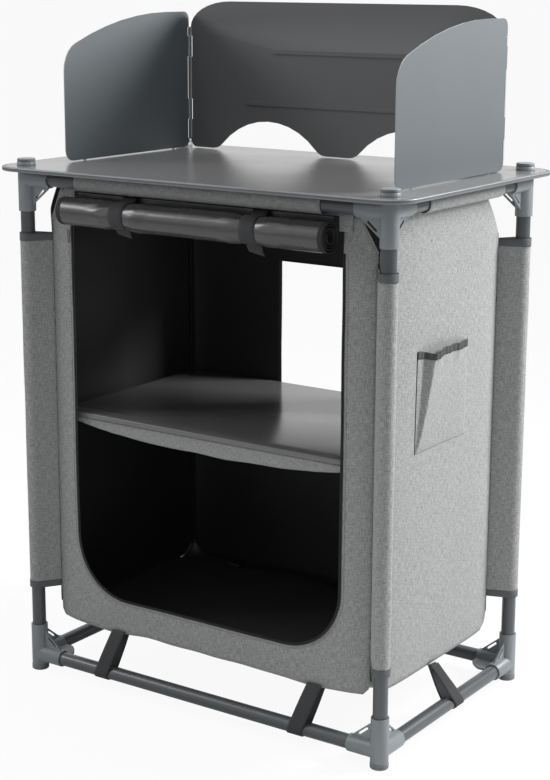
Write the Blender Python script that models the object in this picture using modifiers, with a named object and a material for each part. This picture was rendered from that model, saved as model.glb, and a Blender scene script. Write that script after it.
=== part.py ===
"""Camping cupboard: a knock-down tube frame with moulded corner connectors, a lift-off board top,
a hung fabric cabinet with a shelf and a rolled-up door, and a three-panel folding windscreen.

Metres, +Z up. The origin is on the floor under the middle of the frame, the front faces -Y
and +X is to the right of someone who stands in front of it.
"""
import math

import bmesh
import bpy
from mathutils import Matrix, Vector

MM = 0.001

# Frame: leg axes, overall height and the tube
LEG_SPACING_X = 655 * MM
LEG_SPACING_Y = 403 * MM
FRAME_HEIGHT = 840 * MM          # the top corners mirror the bottom ones about half of this
TUBE_RADIUS = 11 * MM
TUBE_WALL = 1.2 * MM
GAP = 0.3 * MM                   # air between pieces that touch
CUT_OVERRUN = 2 * MM             # how far a cutter runs past what it cuts
WELD = 0.01 * MM                 # points closer than this are one point
ROUND_SIDES = 16
SMOOTH_ANGLE = 30                # degrees; sharper edges stay sharp when a piece is shaded smooth
CLOTH_SMOOTH_ANGLE = 60
BEVEL_ANGLE = 50

# Corner connector, measured from the floor below or the frame's height above
RAIL_DROP = 27 * MM              # to the rails' axis
SOCKET_LENGTH = 78.5 * MM        # to the mouth of the leg socket
ARM_LENGTH = 50.5 * MM           # leg axis to the mouth of a rail socket
SOCKET_WALL = 2.1 * MM
SOCKET_CLEARANCE = 0.4 * MM
MOUTH_CHAMFER = 0.8 * MM
ARM_CORE = 16.5 * MM             # leg axis to the floor of a rail socket
LEG_FLOOR_OVER_ARM = 1.5 * MM
GUSSET_THICKNESS = 3.2 * MM
GUSSET_UNDER_MOUTH = 9.5 * MM    # from the leg socket's mouth down to the gusset's tip
GUSSET_INSIDE_MOUTH = 2 * MM     # from the rail socket's mouth back to the gusset's other tip
GUSSET_SLOT_WIDTH = 3.4 * MM
GUSSET_SLOT_LENGTH = 21 * MM
GUSSET_STRIP = 2.6 * MM          # material left outside the slot
GUSSET_WRAP = math.radians(30)   # where a gusset's edge meets a socket's round side
CORNER_WEB_RADIUS = 56 * MM
CORNER_WEB_THICKNESS = 3 * MM
CORNER_WEB_INSIDE_MOUTH = 1.5 * MM

# End plugs: the foot below and the cap above share a spigot in the connector's end
FOOT_RADIUS = 13.9 * MM
FOOT_HEIGHT = 8.8 * MM
FOOT_EDGE = 2.4 * MM
CAP_RADIUS = 14.5 * MM
CAP_CROWN = 3 * MM               # how far the cap stands over the frame's height
CAP_FLANGE = 5.5 * MM
CAP_NECK = 0.8 * MM
CAP_NECK_DEPTH = 0.9 * MM
CAP_EDGE = 1 * MM
SPIGOT_RADIUS = 8 * MM
SPIGOT_LENGTH = 7 * MM

# Table board and its edge profile
BOARD_OVERHANG = 40 * MM         # from the leg axes to the outside of the edge profile
BOARD_CORNER_RADIUS = 46 * MM
BOARD_THICKNESS = 5 * MM
TRIM_WALL = 1.2 * MM
TRIM_LIP = 1.3 * MM              # depth of the rebate that the profile's lips fill
TRIM_DEPTH = 5 * MM
TRIM_SKIRT = 1.5 * MM            # how far the profile hangs below the board
CAP_HOLE_CLEARANCE = 0.6 * MM

# Windscreen
SCREEN_PIN_SPACING = 607 * MM
SCREEN_RIGHT = 3 * MM            # middle between the pins, right of and behind the board's middle
SCREEN_BACK = 173.5 * MM
SCREEN_TURN = math.radians(-2)   # it stands a little askew, as it was put down
SCREEN_HEIGHT = 245 * MM
SCREEN_BACK_LIFT = 1 * MM        # under the back panel's feet: the screen stands on its wings
SCREEN_SHEET = 1.5 * MM
SCREEN_CORNER_X = 85 * MM
SCREEN_CORNER_Z = 44 * MM
SCREEN_FOOT_RADIUS = 12 * MM
ARCH_SPACING_SHARE = 0.458       # of the distance between the pins
ARCH_HEIGHT = 51 * MM
ARCH_RADIUS = 133 * MM
ARCH_FOOT_RADIUS = 27 * MM
BEAD_HEIGHT = 7 * MM
BEAD_RISE = 1.3 * MM
BEAD_RECESS = 0.9 * MM
BEAD_WALL = 1.2 * MM
UPPER_BEAD_SHARE = 0.432         # bead lengths, of the distance between the pins
LOWER_BEAD_SHARE = 0.616
UPPER_BEAD_LEVEL = 165.5 * MM    # bead heights over the board
LOWER_BEAD_LEVEL = 80.5 * MM
WING_LENGTH = 318 * MM
WING_HEIGHT = 227.5 * MM
WING_CROWN_START = 60 * MM       # from the pin to where the top edge begins to fall
WING_CROWN_RADIUS = 620 * MM
WING_SHOULDER_RADIUS = 45 * MM
WING_FOOT_RADIUS = 17 * MM
WING_REAR_RADIUS = 13 * MM
WING_GLIDE_WIDTH = 6 * MM
WING_GLIDE_HEIGHT = 1.1 * MM
WING_GLIDE_INSET = 45 * MM
LEFT_TOE_IN = math.radians(1.5)
RIGHT_TOE_IN = math.radians(-1.5)
HINGE_PIN_RADIUS = 1.5 * MM
HINGE_RUNNING_GAP = 0.3 * MM
HINGE_EDGE_INSET = 0.5 * MM      # from the pin's axis to both sheets' edges
KNUCKLE_RADIUS = 3.2 * MM
KNUCKLE_END_GAP = 0.5 * MM
HINGE_BOTTOM = 15 * MM           # over the screen's foot
KNUCKLE_LEVELS_SHARES = (0, 0.175, 0.36, 0.74, 0.925, 1)
PIN_STAND_OUT = 1 * MM
HINGE_SIDES = 12

# Fabric cabinet
CLOTH = 2 * MM
CORNER_INSET_X = 30.5 * MM       # leg axis to the body's corner seam
CORNER_INSET_Y = 23.5 * MM
BODY_BOTTOM = 97 * MM
FRONT_BOW_POWER = 12
SIDE_BOW_POWER = 6
SIDE_DRAW = 7 * MM               # how far the side walls draw in under their rails
SIDE_DRAW_HEIGHT = 110 * MM
WALL_SET_SHARE = 0.6             # share of the cloth's thickness by which a wall clears its rail
PLAN_STEPS = 20
SLEEVE_HALF_X = 222 * MM         # front and back rail sleeves
SLEEVE_HALF_Y = 112 * MM         # side rail sleeves
TOP_CUT_X = 264 * MM             # where the slanted top corners start at the front and back
TOP_CUT_Y = 93 * MM              # the same at the sides
TOP_CUT_DROP_X = 64 * MM         # height of the slanted corners at the front and back
TOP_CUT_DROP_Y = 90 * MM
BOTTOM_CORNER_RADIUS_X = 17 * MM
BOTTOM_CORNER_RADIUS_Y = 34 * MM
FLOOR_CORNER_RADIUS = 56 * MM
DOOR_WIDTH = 494 * MM
DOOR_SILL = 150 * MM
DOOR_UNDER_TOP = 59 * MM         # top of the opening, down from the frame's height
DOOR_CORNER_RADIUS = 98 * MM
WINDOW_WIDTH = 224 * MM
WINDOW_HEIGHT = 214 * MM
WINDOW_SILL = 437 * MM

# Corner flaps: a sleeve on each leg and a tail to the body's corner
FLAP_UNDER_TOP = 113 * MM        # down from the frame's height
FLAP_BOTTOM = 150 * MM
FLAP_SLEEVE_WALL = 2.5 * MM
FLAP_SLEEVE_SLACK = 0.4 * MM

# Shelf
SHELF_LEVEL = 444.5 * MM         # top of the shelf board
SHELF_THICKNESS = 8 * MM
SHELF_EDGE_GAP = 9 * MM          # shelf board to the cabinet's walls
SHELF_CORNER_RADIUS = 30 * MM
SHELF_EDGE_ROUND = 1.5 * MM
SLING_SAG = 26 * MM
SLING_RIM = 2 * MM
SLING_CURVE_POWER = 2.5
SLING_STEPS = 16
SEAM_GAP = 0.5 * MM

# Door, rolled up under the front rail
DOOR_CLOTH = 1.8 * MM
ROLL_RADIUS = 22.5 * MM
ROLL_PITCH = 4 * MM
ROLL_TURNS = 3.6
ROLL_LENGTH = 480 * MM
ROLL_UNDER_TOP = 72 * MM         # axis, down from the frame's height
ROLL_TAIL_UNDER_TOP = 43 * MM
ROLL_POINTS_PER_TURN = 14
ROLL_STRAP_SPACING_SHARE = 0.4958      # of the roll's length
ROLL_STRAP_SHIFT_SHARE = -0.0146       # the pair's middle, left of the roll's
ROLL_STRAP_WIDTH = 27 * MM
ROLL_STRAP_THICKNESS = 1.3 * MM
ROLL_STRAP_TAIL = 14 * MM
ROLL_STRAP_KICK = 3 * MM
ROLL_STRAP_DEGREES = (285, 105, -15)   # round the roll from behind its top to under it, and the step
ROLL_CINCH_SHARE = 0.82
ROLL_STATION_SHARES = (-1, -0.9, -0.58, -0.44, -0.25, 0.22, 0.38, 0.53, 0.9, 1)
ROLL_FULLNESS_SHARES = (1, 0.96, 0.82, 0.82, 0.87, 0.87, 0.82, 0.82, 0.96, 1)

# Door zip
ZIP_WIDTH = 9 * MM
ZIP_TAPE = 0.8 * MM
SLIDER_WIDTH = 8 * MM
SLIDER_LENGTH = 12 * MM
SLIDER_DEPTH = 3.2 * MM
SLIDER_EDGE = 0.8 * MM
SLIDER_UNDER_ROLL = 5 * MM
PULL_WIDTH = 5 * MM
PULL_LENGTH = 21 * MM
PULL_THICKNESS = 1.4 * MM

# Pocket on the right wall
POCKET_WIDTH = 150 * MM
POCKET_FORWARD = 11 * MM         # pocket's middle in front of the wall's middle
POCKET_BOTTOM = 436 * MM
POCKET_HEIGHT = 148 * MM
POCKET_CLOTH = 1.4 * MM
POCKET_BULGE = 21 * MM
POCKET_STEPS = 12
POCKET_ROWS = 6
POCKET_ACROSS_POWER = 0.8        # fullness of the pocket's curve across and upwards
POCKET_UP_POWER = 0.9
ELASTIC_HEIGHT = 10 * MM
ELASTIC_THICKNESS = 1.2 * MM

# Tie straps from the body's bottom round the bottom rails
TIE_WIDTH = 26 * MM
TIE_THICKNESS = 1.4 * MM
TIE_FRONT_SPREAD = 374 * MM      # between the front pair on their rail
TIE_FRONT_SLANT = 22 * MM        # how far a strap's top stands beside its loop
TIE_SIDE_BACK = 18 * MM          # side straps' loops behind the middle of their rails
TIE_SIDE_SLANT = 42 * MM
TIE_SPREAD = 9 * MM              # between the two legs where they are sewn on
TIE_STEPS = 10

HALF_X = LEG_SPACING_X / 2
HALF_Y = LEG_SPACING_Y / 2
SOCKET_BORE = TUBE_RADIUS + SOCKET_CLEARANCE
SOCKET_RADIUS = SOCKET_BORE + SOCKET_WALL
LEG_FLOOR = RAIL_DROP + SOCKET_RADIUS + LEG_FLOOR_OVER_ARM
TOP_RAIL_LEVEL = FRAME_HEIGHT - RAIL_DROP
DOOR_TOP = FRAME_HEIGHT - DOOR_UNDER_TOP
FLAP_TOP = FRAME_HEIGHT - FLAP_UNDER_TOP
ROLL_LEVEL = FRAME_HEIGHT - ROLL_UNDER_TOP
ROLL_TAIL_TOP = FRAME_HEIGHT - ROLL_TAIL_UNDER_TOP
ROLL_STRAP_SPACING = ROLL_STRAP_SPACING_SHARE * ROLL_LENGTH
ROLL_STRAP_SHIFT = ROLL_STRAP_SHIFT_SHARE * ROLL_LENGTH
BOARD_BOTTOM = TOP_RAIL_LEVEL + SOCKET_RADIUS + GAP
BOARD_TOP = BOARD_BOTTOM + BOARD_THICKNESS
SCREEN_FLOOR = BOARD_TOP + GAP
PIN_X = SCREEN_PIN_SPACING / 2
ARCH_SPACING = ARCH_SPACING_SHARE * SCREEN_PIN_SPACING
UPPER_BEAD_LENGTH = UPPER_BEAD_SHARE * SCREEN_PIN_SPACING
LOWER_BEAD_LENGTH = LOWER_BEAD_SHARE * SCREEN_PIN_SPACING
SCREEN_PLACE = Matrix.Translation((SCREEN_RIGHT, SCREEN_BACK, SCREEN_FLOOR)) @ \
    Matrix.Rotation(SCREEN_TURN, 4, "Z")
SHEET_OFFSET = KNUCKLE_RADIUS - SCREEN_SHEET / 2
SLEEVE_BORE = TUBE_RADIUS + GAP
SLEEVE_RADIUS = SLEEVE_BORE + CLOTH
WALL_OFFSET = SLEEVE_BORE + WALL_SET_SHARE * CLOTH
WALL_X = HALF_X - WALL_OFFSET - SIDE_DRAW    # middle of the side walls' cloth below their rail
WALL_Y = HALF_Y - WALL_OFFSET    # the same for the front and the back
CORNER_X = HALF_X - CORNER_INSET_X
CORNER_Y = HALF_Y - CORNER_INSET_Y
CORNERS = (("front_left", -1, -1, 0), ("front_right", 1, -1, 1),
           ("back_right", 1, 1, 2), ("back_left", -1, 1, 3))


def clear_scene():
    for old in list(bpy.data.objects):
        bpy.data.objects.remove(old, do_unlink=True)


def make_collection(name):
    collection = bpy.data.collections.new(name)
    bpy.context.scene.collection.children.link(collection)
    return collection


clear_scene()
PARTS = make_collection("camping_cupboard")
CUTTERS = make_collection("cutters")


def make_material(name, colour, roughness, metallic=0.0):
    material = bpy.data.materials.new(name)
    material.use_nodes = True
    shader = material.node_tree.nodes["Principled BSDF"]
    shader.inputs["Base Color"].default_value = (*colour, 1)
    shader.inputs["Roughness"].default_value = roughness
    shader.inputs["Metallic"].default_value = metallic
    material.diffuse_color = (*colour, 1)
    return material


TUBE_GREY = make_material("tube_grey", (0.09, 0.095, 0.10), 0.38, 0.6)
CONNECTOR_GREY = make_material("connector_grey", (0.17, 0.185, 0.195), 0.55)
FOOT_GREY = make_material("foot_grey", (0.15, 0.16, 0.17), 0.65)
BOARD_GRAPHITE = make_material("board_graphite", (0.10, 0.10, 0.10), 0.32)
TRIM_METAL = make_material("trim_metal", (0.30, 0.31, 0.31), 0.35, 0.8)
SCREEN_CHARCOAL = make_material("screen_charcoal", (0.055, 0.06, 0.062), 0.35, 0.4)
PIN_STEEL = make_material("pin_steel", (0.35, 0.36, 0.37), 0.3, 1.0)
CLOTH_GREY = make_material("cloth_grey", (0.20, 0.205, 0.205), 0.9)
DOOR_COATED = make_material("door_coated", (0.045, 0.045, 0.047), 0.35)
WEBBING = make_material("webbing", (0.035, 0.036, 0.038), 0.8)
ZIP_BLACK = make_material("zip_black", (0.02, 0.02, 0.02), 0.6)
SLIDER_METAL = make_material("slider_metal", (0.25, 0.25, 0.26), 0.35, 0.9)


def add_object(name, data, material=None, collection=None):
    obj = bpy.data.objects.new(name, data)
    (collection or CUTTERS).objects.link(obj)
    if material:
        data.materials.clear()
        data.materials.append(material)
    if (collection or CUTTERS) is CUTTERS:
        obj.hide_render = True
        obj.display_type = "WIRE"
    return obj


def mesh_from(name, bm):
    bmesh.ops.recalc_face_normals(bm, faces=bm.faces)
    mesh = bpy.data.meshes.new(name)
    bm.to_mesh(mesh)
    bm.free()
    return mesh


def rod(name, radius, start, end, sides=ROUND_SIDES):
    """A solid cylinder between two points, as a tool for booleans."""
    start, end = Vector(start), Vector(end)
    along = end - start
    place = Matrix.Translation((start + end) / 2) @ along.to_track_quat("Z", "Y").to_matrix().to_4x4()
    bm = bmesh.new()
    bmesh.ops.create_cone(bm, cap_ends=True, cap_tris=False, segments=sides, radius1=radius,
                          radius2=radius, depth=along.length, matrix=place)
    return add_object(name, mesh_from(name, bm))


def block(name, low, high):
    """A box between two corners, as a tool for booleans."""
    low, high = Vector(low), Vector(high)
    bm = bmesh.new()
    bmesh.ops.create_cube(bm, size=1, matrix=Matrix.Translation((low + high) / 2)
                          @ Matrix.Diagonal((*(high - low), 1)))
    return add_object(name, mesh_from(name, bm))


def turned(name, profile, closed=False, sides=ROUND_SIDES):
    """A profile of (radius, height) points, from the top down its outer side, spun about Z."""
    bm = bmesh.new()
    points = [bm.verts.new((radius, 0, height)) for radius, height in profile]
    for first, second in zip(points, points[1:]):
        bm.edges.new((first, second))
    if closed:
        bm.edges.new((points[-1], points[0]))
    mesh = bpy.data.meshes.new(name)
    bm.to_mesh(mesh)
    bm.free()
    obj = add_object(name, mesh)
    screw = obj.modifiers.new("spin", "SCREW")
    screw.steps = screw.render_steps = sides
    screw.use_merge_vertices = True
    screw.merge_threshold = WELD
    return obj


def slab(name, outlines, thickness, place=Matrix.Identity(4)):
    """A flat plate: closed outlines in its own XY plane, half the thickness to each side."""
    curve = bpy.data.curves.new(name, "CURVE")
    curve.dimensions = "2D"
    curve.fill_mode = "BOTH"
    curve.extrude = thickness / 2
    for outline in outlines:
        spline = curve.splines.new("POLY")
        spline.points.add(len(outline) - 1)
        for point, (x, y) in zip(spline.points, outline):
            point.co = (x, y, 0, 1)
        spline.use_cyclic_u = True
    source = add_object(name + "_outline", curve)
    bpy.context.view_layer.update()
    mesh = bpy.data.meshes.new_from_object(source.evaluated_get(bpy.context.evaluated_depsgraph_get()))
    bpy.data.objects.remove(source, do_unlink=True)
    bm = bmesh.new()
    bm.from_mesh(mesh)
    bmesh.ops.remove_doubles(bm, verts=bm.verts, dist=WELD)
    bmesh.ops.transform(bm, matrix=place, verts=bm.verts)
    bmesh.ops.recalc_face_normals(bm, faces=bm.faces)
    bm.to_mesh(mesh)
    bm.free()
    mesh.name = name
    return add_object(name, mesh)


def strip(name, rows, thickness):
    """A sheet through rows of points, thickened evenly to both sides."""
    bm = bmesh.new()
    grid = [[bm.verts.new(point) for point in row] for row in rows]
    for upper, lower in zip(grid, grid[1:]):
        for a, b, c, d in zip(upper, upper[1:], lower[1:], lower):
            bm.faces.new((a, b, c, d))
    obj = add_object(name, mesh_from(name, bm))
    solidify = obj.modifiers.new("thickness", "SOLIDIFY")
    solidify.thickness = thickness
    solidify.offset = 0
    solidify.use_even_offset = True
    return obj


def boolean(target, tool, operation):
    step = target.modifiers.new(tool.name, "BOOLEAN")
    step.operation = operation
    step.solver = "EXACT"
    step.object = tool


def join(target, *tools):
    for tool in tools:
        boolean(target, tool, "UNION")


def cut(target, *tools):
    for tool in tools:
        boolean(target, tool, "DIFFERENCE")


def bevel(obj, width, segments=2):
    step = obj.modifiers.new("edges", "BEVEL")
    step.width = width
    step.segments = segments
    step.limit_method = "ANGLE"
    step.angle_limit = math.radians(BEVEL_ANGLE)


def bake(obj):
    """The object's shape after its modifiers, as a mesh that copies can share."""
    bpy.context.view_layer.update()
    mesh = bpy.data.meshes.new_from_object(obj.evaluated_get(bpy.context.evaluated_depsgraph_get()))
    bpy.data.objects.remove(obj, do_unlink=True)
    bm = bmesh.new()
    bm.from_mesh(mesh)
    bmesh.ops.remove_doubles(bm, verts=bm.verts, dist=WELD)
    bmesh.ops.dissolve_degenerate(bm, edges=bm.edges, dist=WELD)
    bm.to_mesh(mesh)
    bm.free()
    return mesh


def finish(obj, name, material, crease=SMOOTH_ANGLE):
    """Move a worked object into the parts' collection under its own name, where it stands."""
    place = obj.matrix_world.copy()
    return place_part(name, bake(obj), material, place, crease)


def place_part(name, mesh, material, place=Matrix.Identity(4), crease=SMOOTH_ANGLE):
    mesh.shade_smooth()
    mesh.set_sharp_from_angle(angle=math.radians(crease))
    obj = add_object(name, mesh, material, PARTS)
    obj.matrix_world = place
    return obj


def arc(centre, radii, start, end, steps):
    """Points along an ellipse's arc, angles in degrees."""
    return [(centre[0] + radii[0] * math.cos(math.radians(start + (end - start) * i / steps)),
             centre[1] + radii[1] * math.sin(math.radians(start + (end - start) * i / steps)))
            for i in range(steps + 1)]


def rounded_rectangle(half_x, half_y, radius, steps=8):
    points = []
    for sign_x, sign_y, start in ((1, 1, 0), (-1, 1, 90), (-1, -1, 180), (1, -1, 270)):
        centre = (sign_x * (half_x - radius), sign_y * (half_y - radius))
        points += arc(centre, (radius, radius), start, start + 90, steps)
    return points


def circle(centre, radius, sides=ROUND_SIDES):
    return arc(centre, (radius, radius), 0, 360, sides)[:-1]


def stadium(centre, length, width, steps=6):
    """A slot with round ends, lying along X."""
    reach, radius = (length - width) / 2, width / 2
    return (arc((centre[0] + reach, centre[1]), (radius, radius), -90, 90, steps)
            + arc((centre[0] - reach, centre[1]), (radius, radius), 90, 270, steps))


UPRIGHT = Matrix.Rotation(math.radians(90), 4, "X")            # plate's Y turned up, facing -Y


# Corner connector
def connector_outer_end():
    return FOOT_HEIGHT + GAP


def gusset(name, along):
    """The web between the leg socket and one rail socket, with its long slot."""
    foot = (ARM_LENGTH - GUSSET_INSIDE_MOUTH, RAIL_DROP + SOCKET_RADIUS * math.cos(GUSSET_WRAP))
    tip = (SOCKET_RADIUS * math.cos(GUSSET_WRAP), SOCKET_LENGTH - GUSSET_UNDER_MOUTH)
    outline = [(0, RAIL_DROP), (foot[0], RAIL_DROP), foot, tip, (0, tip[1])]
    slope = math.atan2(tip[1] - foot[1], tip[0] - foot[0])
    inward = Vector((math.sin(slope), -math.cos(slope))) * -(GUSSET_STRIP + GUSSET_SLOT_WIDTH / 2)
    middle = Vector(((foot[0] + tip[0]) / 2, (foot[1] + tip[1]) / 2)) + inward
    turn = Matrix.Rotation(slope, 2)
    slot = [tuple(middle + turn @ Vector(point))
            for point in stadium((0, 0), GUSSET_SLOT_LENGTH, GUSSET_SLOT_WIDTH, 3)]
    place = UPRIGHT if along == "X" else Matrix.Rotation(math.radians(90), 4, "Z") @ UPRIGHT
    return slab(name, [outline, slot], GUSSET_THICKNESS, place)


def corner_web(name):
    """The level quarter-round web between the two rail sockets."""
    inside = ARM_LENGTH - CORNER_WEB_INSIDE_MOUTH
    start = math.degrees(math.acos(inside / CORNER_WEB_RADIUS))
    outline = [(0, 0), (inside, 0)]
    outline += arc((0, 0), (CORNER_WEB_RADIUS, CORNER_WEB_RADIUS), start, 90 - start, 6)
    outline += [(0, inside)]
    return slab(name, [outline], CORNER_WEB_THICKNESS, Matrix.Translation((0, 0, RAIL_DROP)))


def socket_bore(name, floor, mouth):
    """A turned cutter for a blind bore with a lead-in at its mouth."""
    lead = SOCKET_BORE + MOUTH_CHAMFER + CUT_OVERRUN
    return turned(name, [(0, mouth + CUT_OVERRUN), (lead, mouth + CUT_OVERRUN),
                         (SOCKET_BORE, mouth - MOUTH_CHAMFER), (SOCKET_BORE, floor), (0, floor)])


def along_axis(obj, along):
    """Turn a tool made along Z to lie along X or Y at the rails' level."""
    turn = Matrix.Rotation(math.radians(90), 4, "Y") if along == "X" else \
        Matrix.Rotation(math.radians(-90), 4, "X")
    obj.matrix_world = Matrix.Translation((0, 0, RAIL_DROP)) @ turn
    return obj


def connector_mesh():
    """One moulding for all eight corners: leg socket up, rail sockets along +X and +Y."""
    end = connector_outer_end()
    body = turned("connector", [(0, SOCKET_LENGTH), (SOCKET_RADIUS, SOCKET_LENGTH), (SOCKET_RADIUS, end),
                                (0, end)])
    for along in ("X", "Y"):
        arm = turned("arm_" + along, [(0, ARM_LENGTH), (SOCKET_RADIUS, ARM_LENGTH), (SOCKET_RADIUS, 0),
                                      (0, 0)])
        join(body, along_axis(arm, along), gusset("gusset_" + along, along))
    join(body, corner_web("corner_web"))
    for along in ("X", "Y"):
        cut(body, along_axis(socket_bore("arm_bore_" + along, ARM_CORE, ARM_LENGTH), along))
    pocket = rod("spigot_pocket", SPIGOT_RADIUS + GAP, (0, 0, end - CUT_OVERRUN),
                 (0, 0, end + SPIGOT_LENGTH + GAP), HINGE_SIDES)
    cut(body, socket_bore("leg_bore", LEG_FLOOR, SOCKET_LENGTH), pocket)
    return bake(body)


def corner_place(sign_x, sign_y, quarter, top):
    """Where a corner's pieces stand; the top corners hang upside down, turned about the diagonal."""
    turn = Matrix.Rotation(math.radians(90 * quarter), 4, "Z")
    if top:
        turn = turn @ Matrix.Rotation(math.radians(180), 4, Vector((1, 1, 0)).normalized())
    return Matrix.Translation((sign_x * HALF_X, sign_y * HALF_Y, FRAME_HEIGHT if top else 0)) @ turn


def foot_mesh():
    spigot = connector_outer_end() + SPIGOT_LENGTH - GAP
    profile = [(0, spigot), (SPIGOT_RADIUS, spigot), (SPIGOT_RADIUS, FOOT_HEIGHT),
               (FOOT_RADIUS, FOOT_HEIGHT)]
    profile += arc((FOOT_RADIUS - FOOT_EDGE, FOOT_EDGE), (FOOT_EDGE, FOOT_EDGE), 0, -90, 2)
    return bake(turned("foot", profile + [(0, 0)]))


def cap_mesh():
    spigot = connector_outer_end() + SPIGOT_LENGTH - GAP
    neck = CAP_RADIUS - CAP_NECK_DEPTH
    top = -CAP_CROWN
    under = top + CAP_FLANGE
    profile = [(0, spigot), (SPIGOT_RADIUS, spigot), (SPIGOT_RADIUS, FOOT_HEIGHT),
               (SOCKET_RADIUS, FOOT_HEIGHT), (SOCKET_RADIUS, under + CAP_NECK),
               (neck, under + CAP_NECK), (neck, under), (CAP_RADIUS, under)]
    profile += arc((CAP_RADIUS - CAP_EDGE, top + CAP_EDGE), (CAP_EDGE, CAP_EDGE), 0, -90, 2)
    return bake(turned("cap", profile + [(0, top)]))


def build_corners():
    connector, foot, cap = connector_mesh(), foot_mesh(), cap_mesh()
    for corner, sign_x, sign_y, quarter in CORNERS:
        low, high = (corner_place(sign_x, sign_y, quarter, top) for top in (False, True))
        place_part("connector_bottom_" + corner, connector, CONNECTOR_GREY, low)
        place_part("connector_top_" + corner, connector, CONNECTOR_GREY, high)
        place_part("foot_" + corner, foot, FOOT_GREY, low)
        place_part("top_cap_" + corner, cap, CONNECTOR_GREY, high)


# Tubes
def tube_mesh(name, length):
    """A hollow tube centred on its middle, along Z."""
    inner = TUBE_RADIUS - TUBE_WALL
    return bake(turned(name, [(TUBE_RADIUS, length / 2), (TUBE_RADIUS, -length / 2),
                              (inner, -length / 2), (inner, length / 2)], closed=True))


def build_tubes():
    leg = tube_mesh("leg", FRAME_HEIGHT - 2 * (LEG_FLOOR + GAP))
    rail_x = tube_mesh("rail_x", LEG_SPACING_X - 2 * (ARM_CORE + GAP))
    rail_y = tube_mesh("rail_y", LEG_SPACING_Y - 2 * (ARM_CORE + GAP))
    for corner, sign_x, sign_y, _ in CORNERS:
        place_part("leg_" + corner, leg, TUBE_GREY,
                   Matrix.Translation((sign_x * HALF_X, sign_y * HALF_Y, FRAME_HEIGHT / 2)))
    turn_x = Matrix.Rotation(math.radians(90), 4, "Y")
    turn_y = Matrix.Rotation(math.radians(90), 4, "X")
    for level, height in (("bottom", RAIL_DROP), ("top", TOP_RAIL_LEVEL)):
        for side, sign in (("front", -1), ("back", 1)):
            place_part(f"rail_{level}_{side}", rail_x, TUBE_GREY,
                       Matrix.Translation((0, sign * HALF_Y, height)) @ turn_x)
        for side, sign in (("left", -1), ("right", 1)):
            place_part(f"rail_{level}_{side}", rail_y, TUBE_GREY,
                       Matrix.Translation((sign * HALF_X, 0, height)) @ turn_y)


# Table board
def board_outline(inset):
    return rounded_rectangle(HALF_X + BOARD_OVERHANG - inset, HALF_Y + BOARD_OVERHANG - inset,
                             BOARD_CORNER_RADIUS - inset, 6)


def build_table():
    """The board drops over the corner caps; its rebated edge sits flush in a channel profile."""
    holes = [circle((sign_x * HALF_X, sign_y * HALF_Y), CAP_RADIUS + CAP_HOLE_CLEARANCE)
             for _, sign_x, sign_y, _ in CORNERS]
    place = Matrix.Translation((0, 0, (BOARD_BOTTOM + BOARD_TOP) / 2))
    tongue_thickness = BOARD_THICKNESS - 2 * TRIM_LIP
    board = slab("board", [board_outline(TRIM_DEPTH + GAP)] + holes, BOARD_THICKNESS, place)
    join(board, slab("board_tongue", [board_outline(TRIM_WALL + GAP), board_outline(2 * TRIM_DEPTH)],
                     tongue_thickness, place))
    place_part("table_board", bake(board), BOARD_GRAPHITE)
    low = BOARD_BOTTOM - TRIM_SKIRT
    trim = slab("trim", [board_outline(0), board_outline(TRIM_DEPTH)], BOARD_TOP - low,
                Matrix.Translation((0, 0, (BOARD_TOP + low) / 2)))
    cut(trim, slab("trim_channel", [board_outline(TRIM_WALL)], tongue_thickness + 2 * GAP, place))
    finish(trim, "table_edge_trim", TRIM_METAL)


# Windscreen
def knuckle_levels():
    """Heights where one knuckle ends and the next begins, over the screen's foot."""
    span = SCREEN_HEIGHT - SCREEN_CORNER_Z - HINGE_BOTTOM
    return [HINGE_BOTTOM + share * span for share in KNUCKLE_LEVELS_SHARES]


def add_knuckles(sheet, pin_x, own):
    """Join a leaf's own knuckles round the pin's axis and clear the other leaf's."""
    levels = knuckle_levels()
    clear = KNUCKLE_RADIUS + KNUCKLE_END_GAP
    for index, (low, high) in enumerate(zip(levels, levels[1:])):
        tag = f"{sheet.name}_{pin_x > 0}_{index}"
        if index % 2 == own:
            join(sheet, rod(tag, KNUCKLE_RADIUS, (pin_x, 0, low + KNUCKLE_END_GAP / 2),
                            (pin_x, 0, high - KNUCKLE_END_GAP / 2), HINGE_SIDES))
        else:
            cut(sheet, block(tag, (pin_x - clear, -clear, low), (pin_x + clear, clear, high)))
    cut(sheet, rod(f"{sheet.name}_{pin_x > 0}_bore", HINGE_PIN_RADIUS + HINGE_RUNNING_GAP,
                   (pin_x, 0, 0), (pin_x, 0, SCREEN_HEIGHT), HINGE_SIDES))


def arch_curve(middle):
    """A round arch that runs out into the feet beside it, from left to right."""
    low = SCREEN_BACK_LIFT
    foot = ARCH_FOOT_RADIUS
    centre = ARCH_HEIGHT - ARCH_RADIUS
    rise = foot + low - centre
    reach = math.sqrt((ARCH_RADIUS + foot) ** 2 - rise ** 2)
    lean = math.degrees(math.asin(reach / (ARCH_RADIUS + foot)))
    left = arc((middle - reach, low + foot), (foot, foot), -90, lean - 90, 3)
    crown = arc((middle, centre), (ARCH_RADIUS, ARCH_RADIUS), 90 + lean, 90 - lean, 10)[1:-1]
    right = arc((middle + reach, low + foot), (foot, foot), -90 - lean, -90, 3)
    return left + crown + right


def screen_back_outline():
    """Feet, two arches and eased top corners, as (across, height) from the board's face."""
    edge, radius = PIN_X - HINGE_EDGE_INSET, SCREEN_FOOT_RADIUS
    right = arch_curve(ARCH_SPACING / 2)
    right += arc((edge - radius, SCREEN_BACK_LIFT + radius), (radius, radius), -90, 0, 4)
    right += arc((edge - SCREEN_CORNER_X, SCREEN_HEIGHT - SCREEN_CORNER_Z),
                 (SCREEN_CORNER_X, SCREEN_CORNER_Z), 0, 90, 8)
    return right + [(-x, z) for x, z in reversed(right)]


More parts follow.
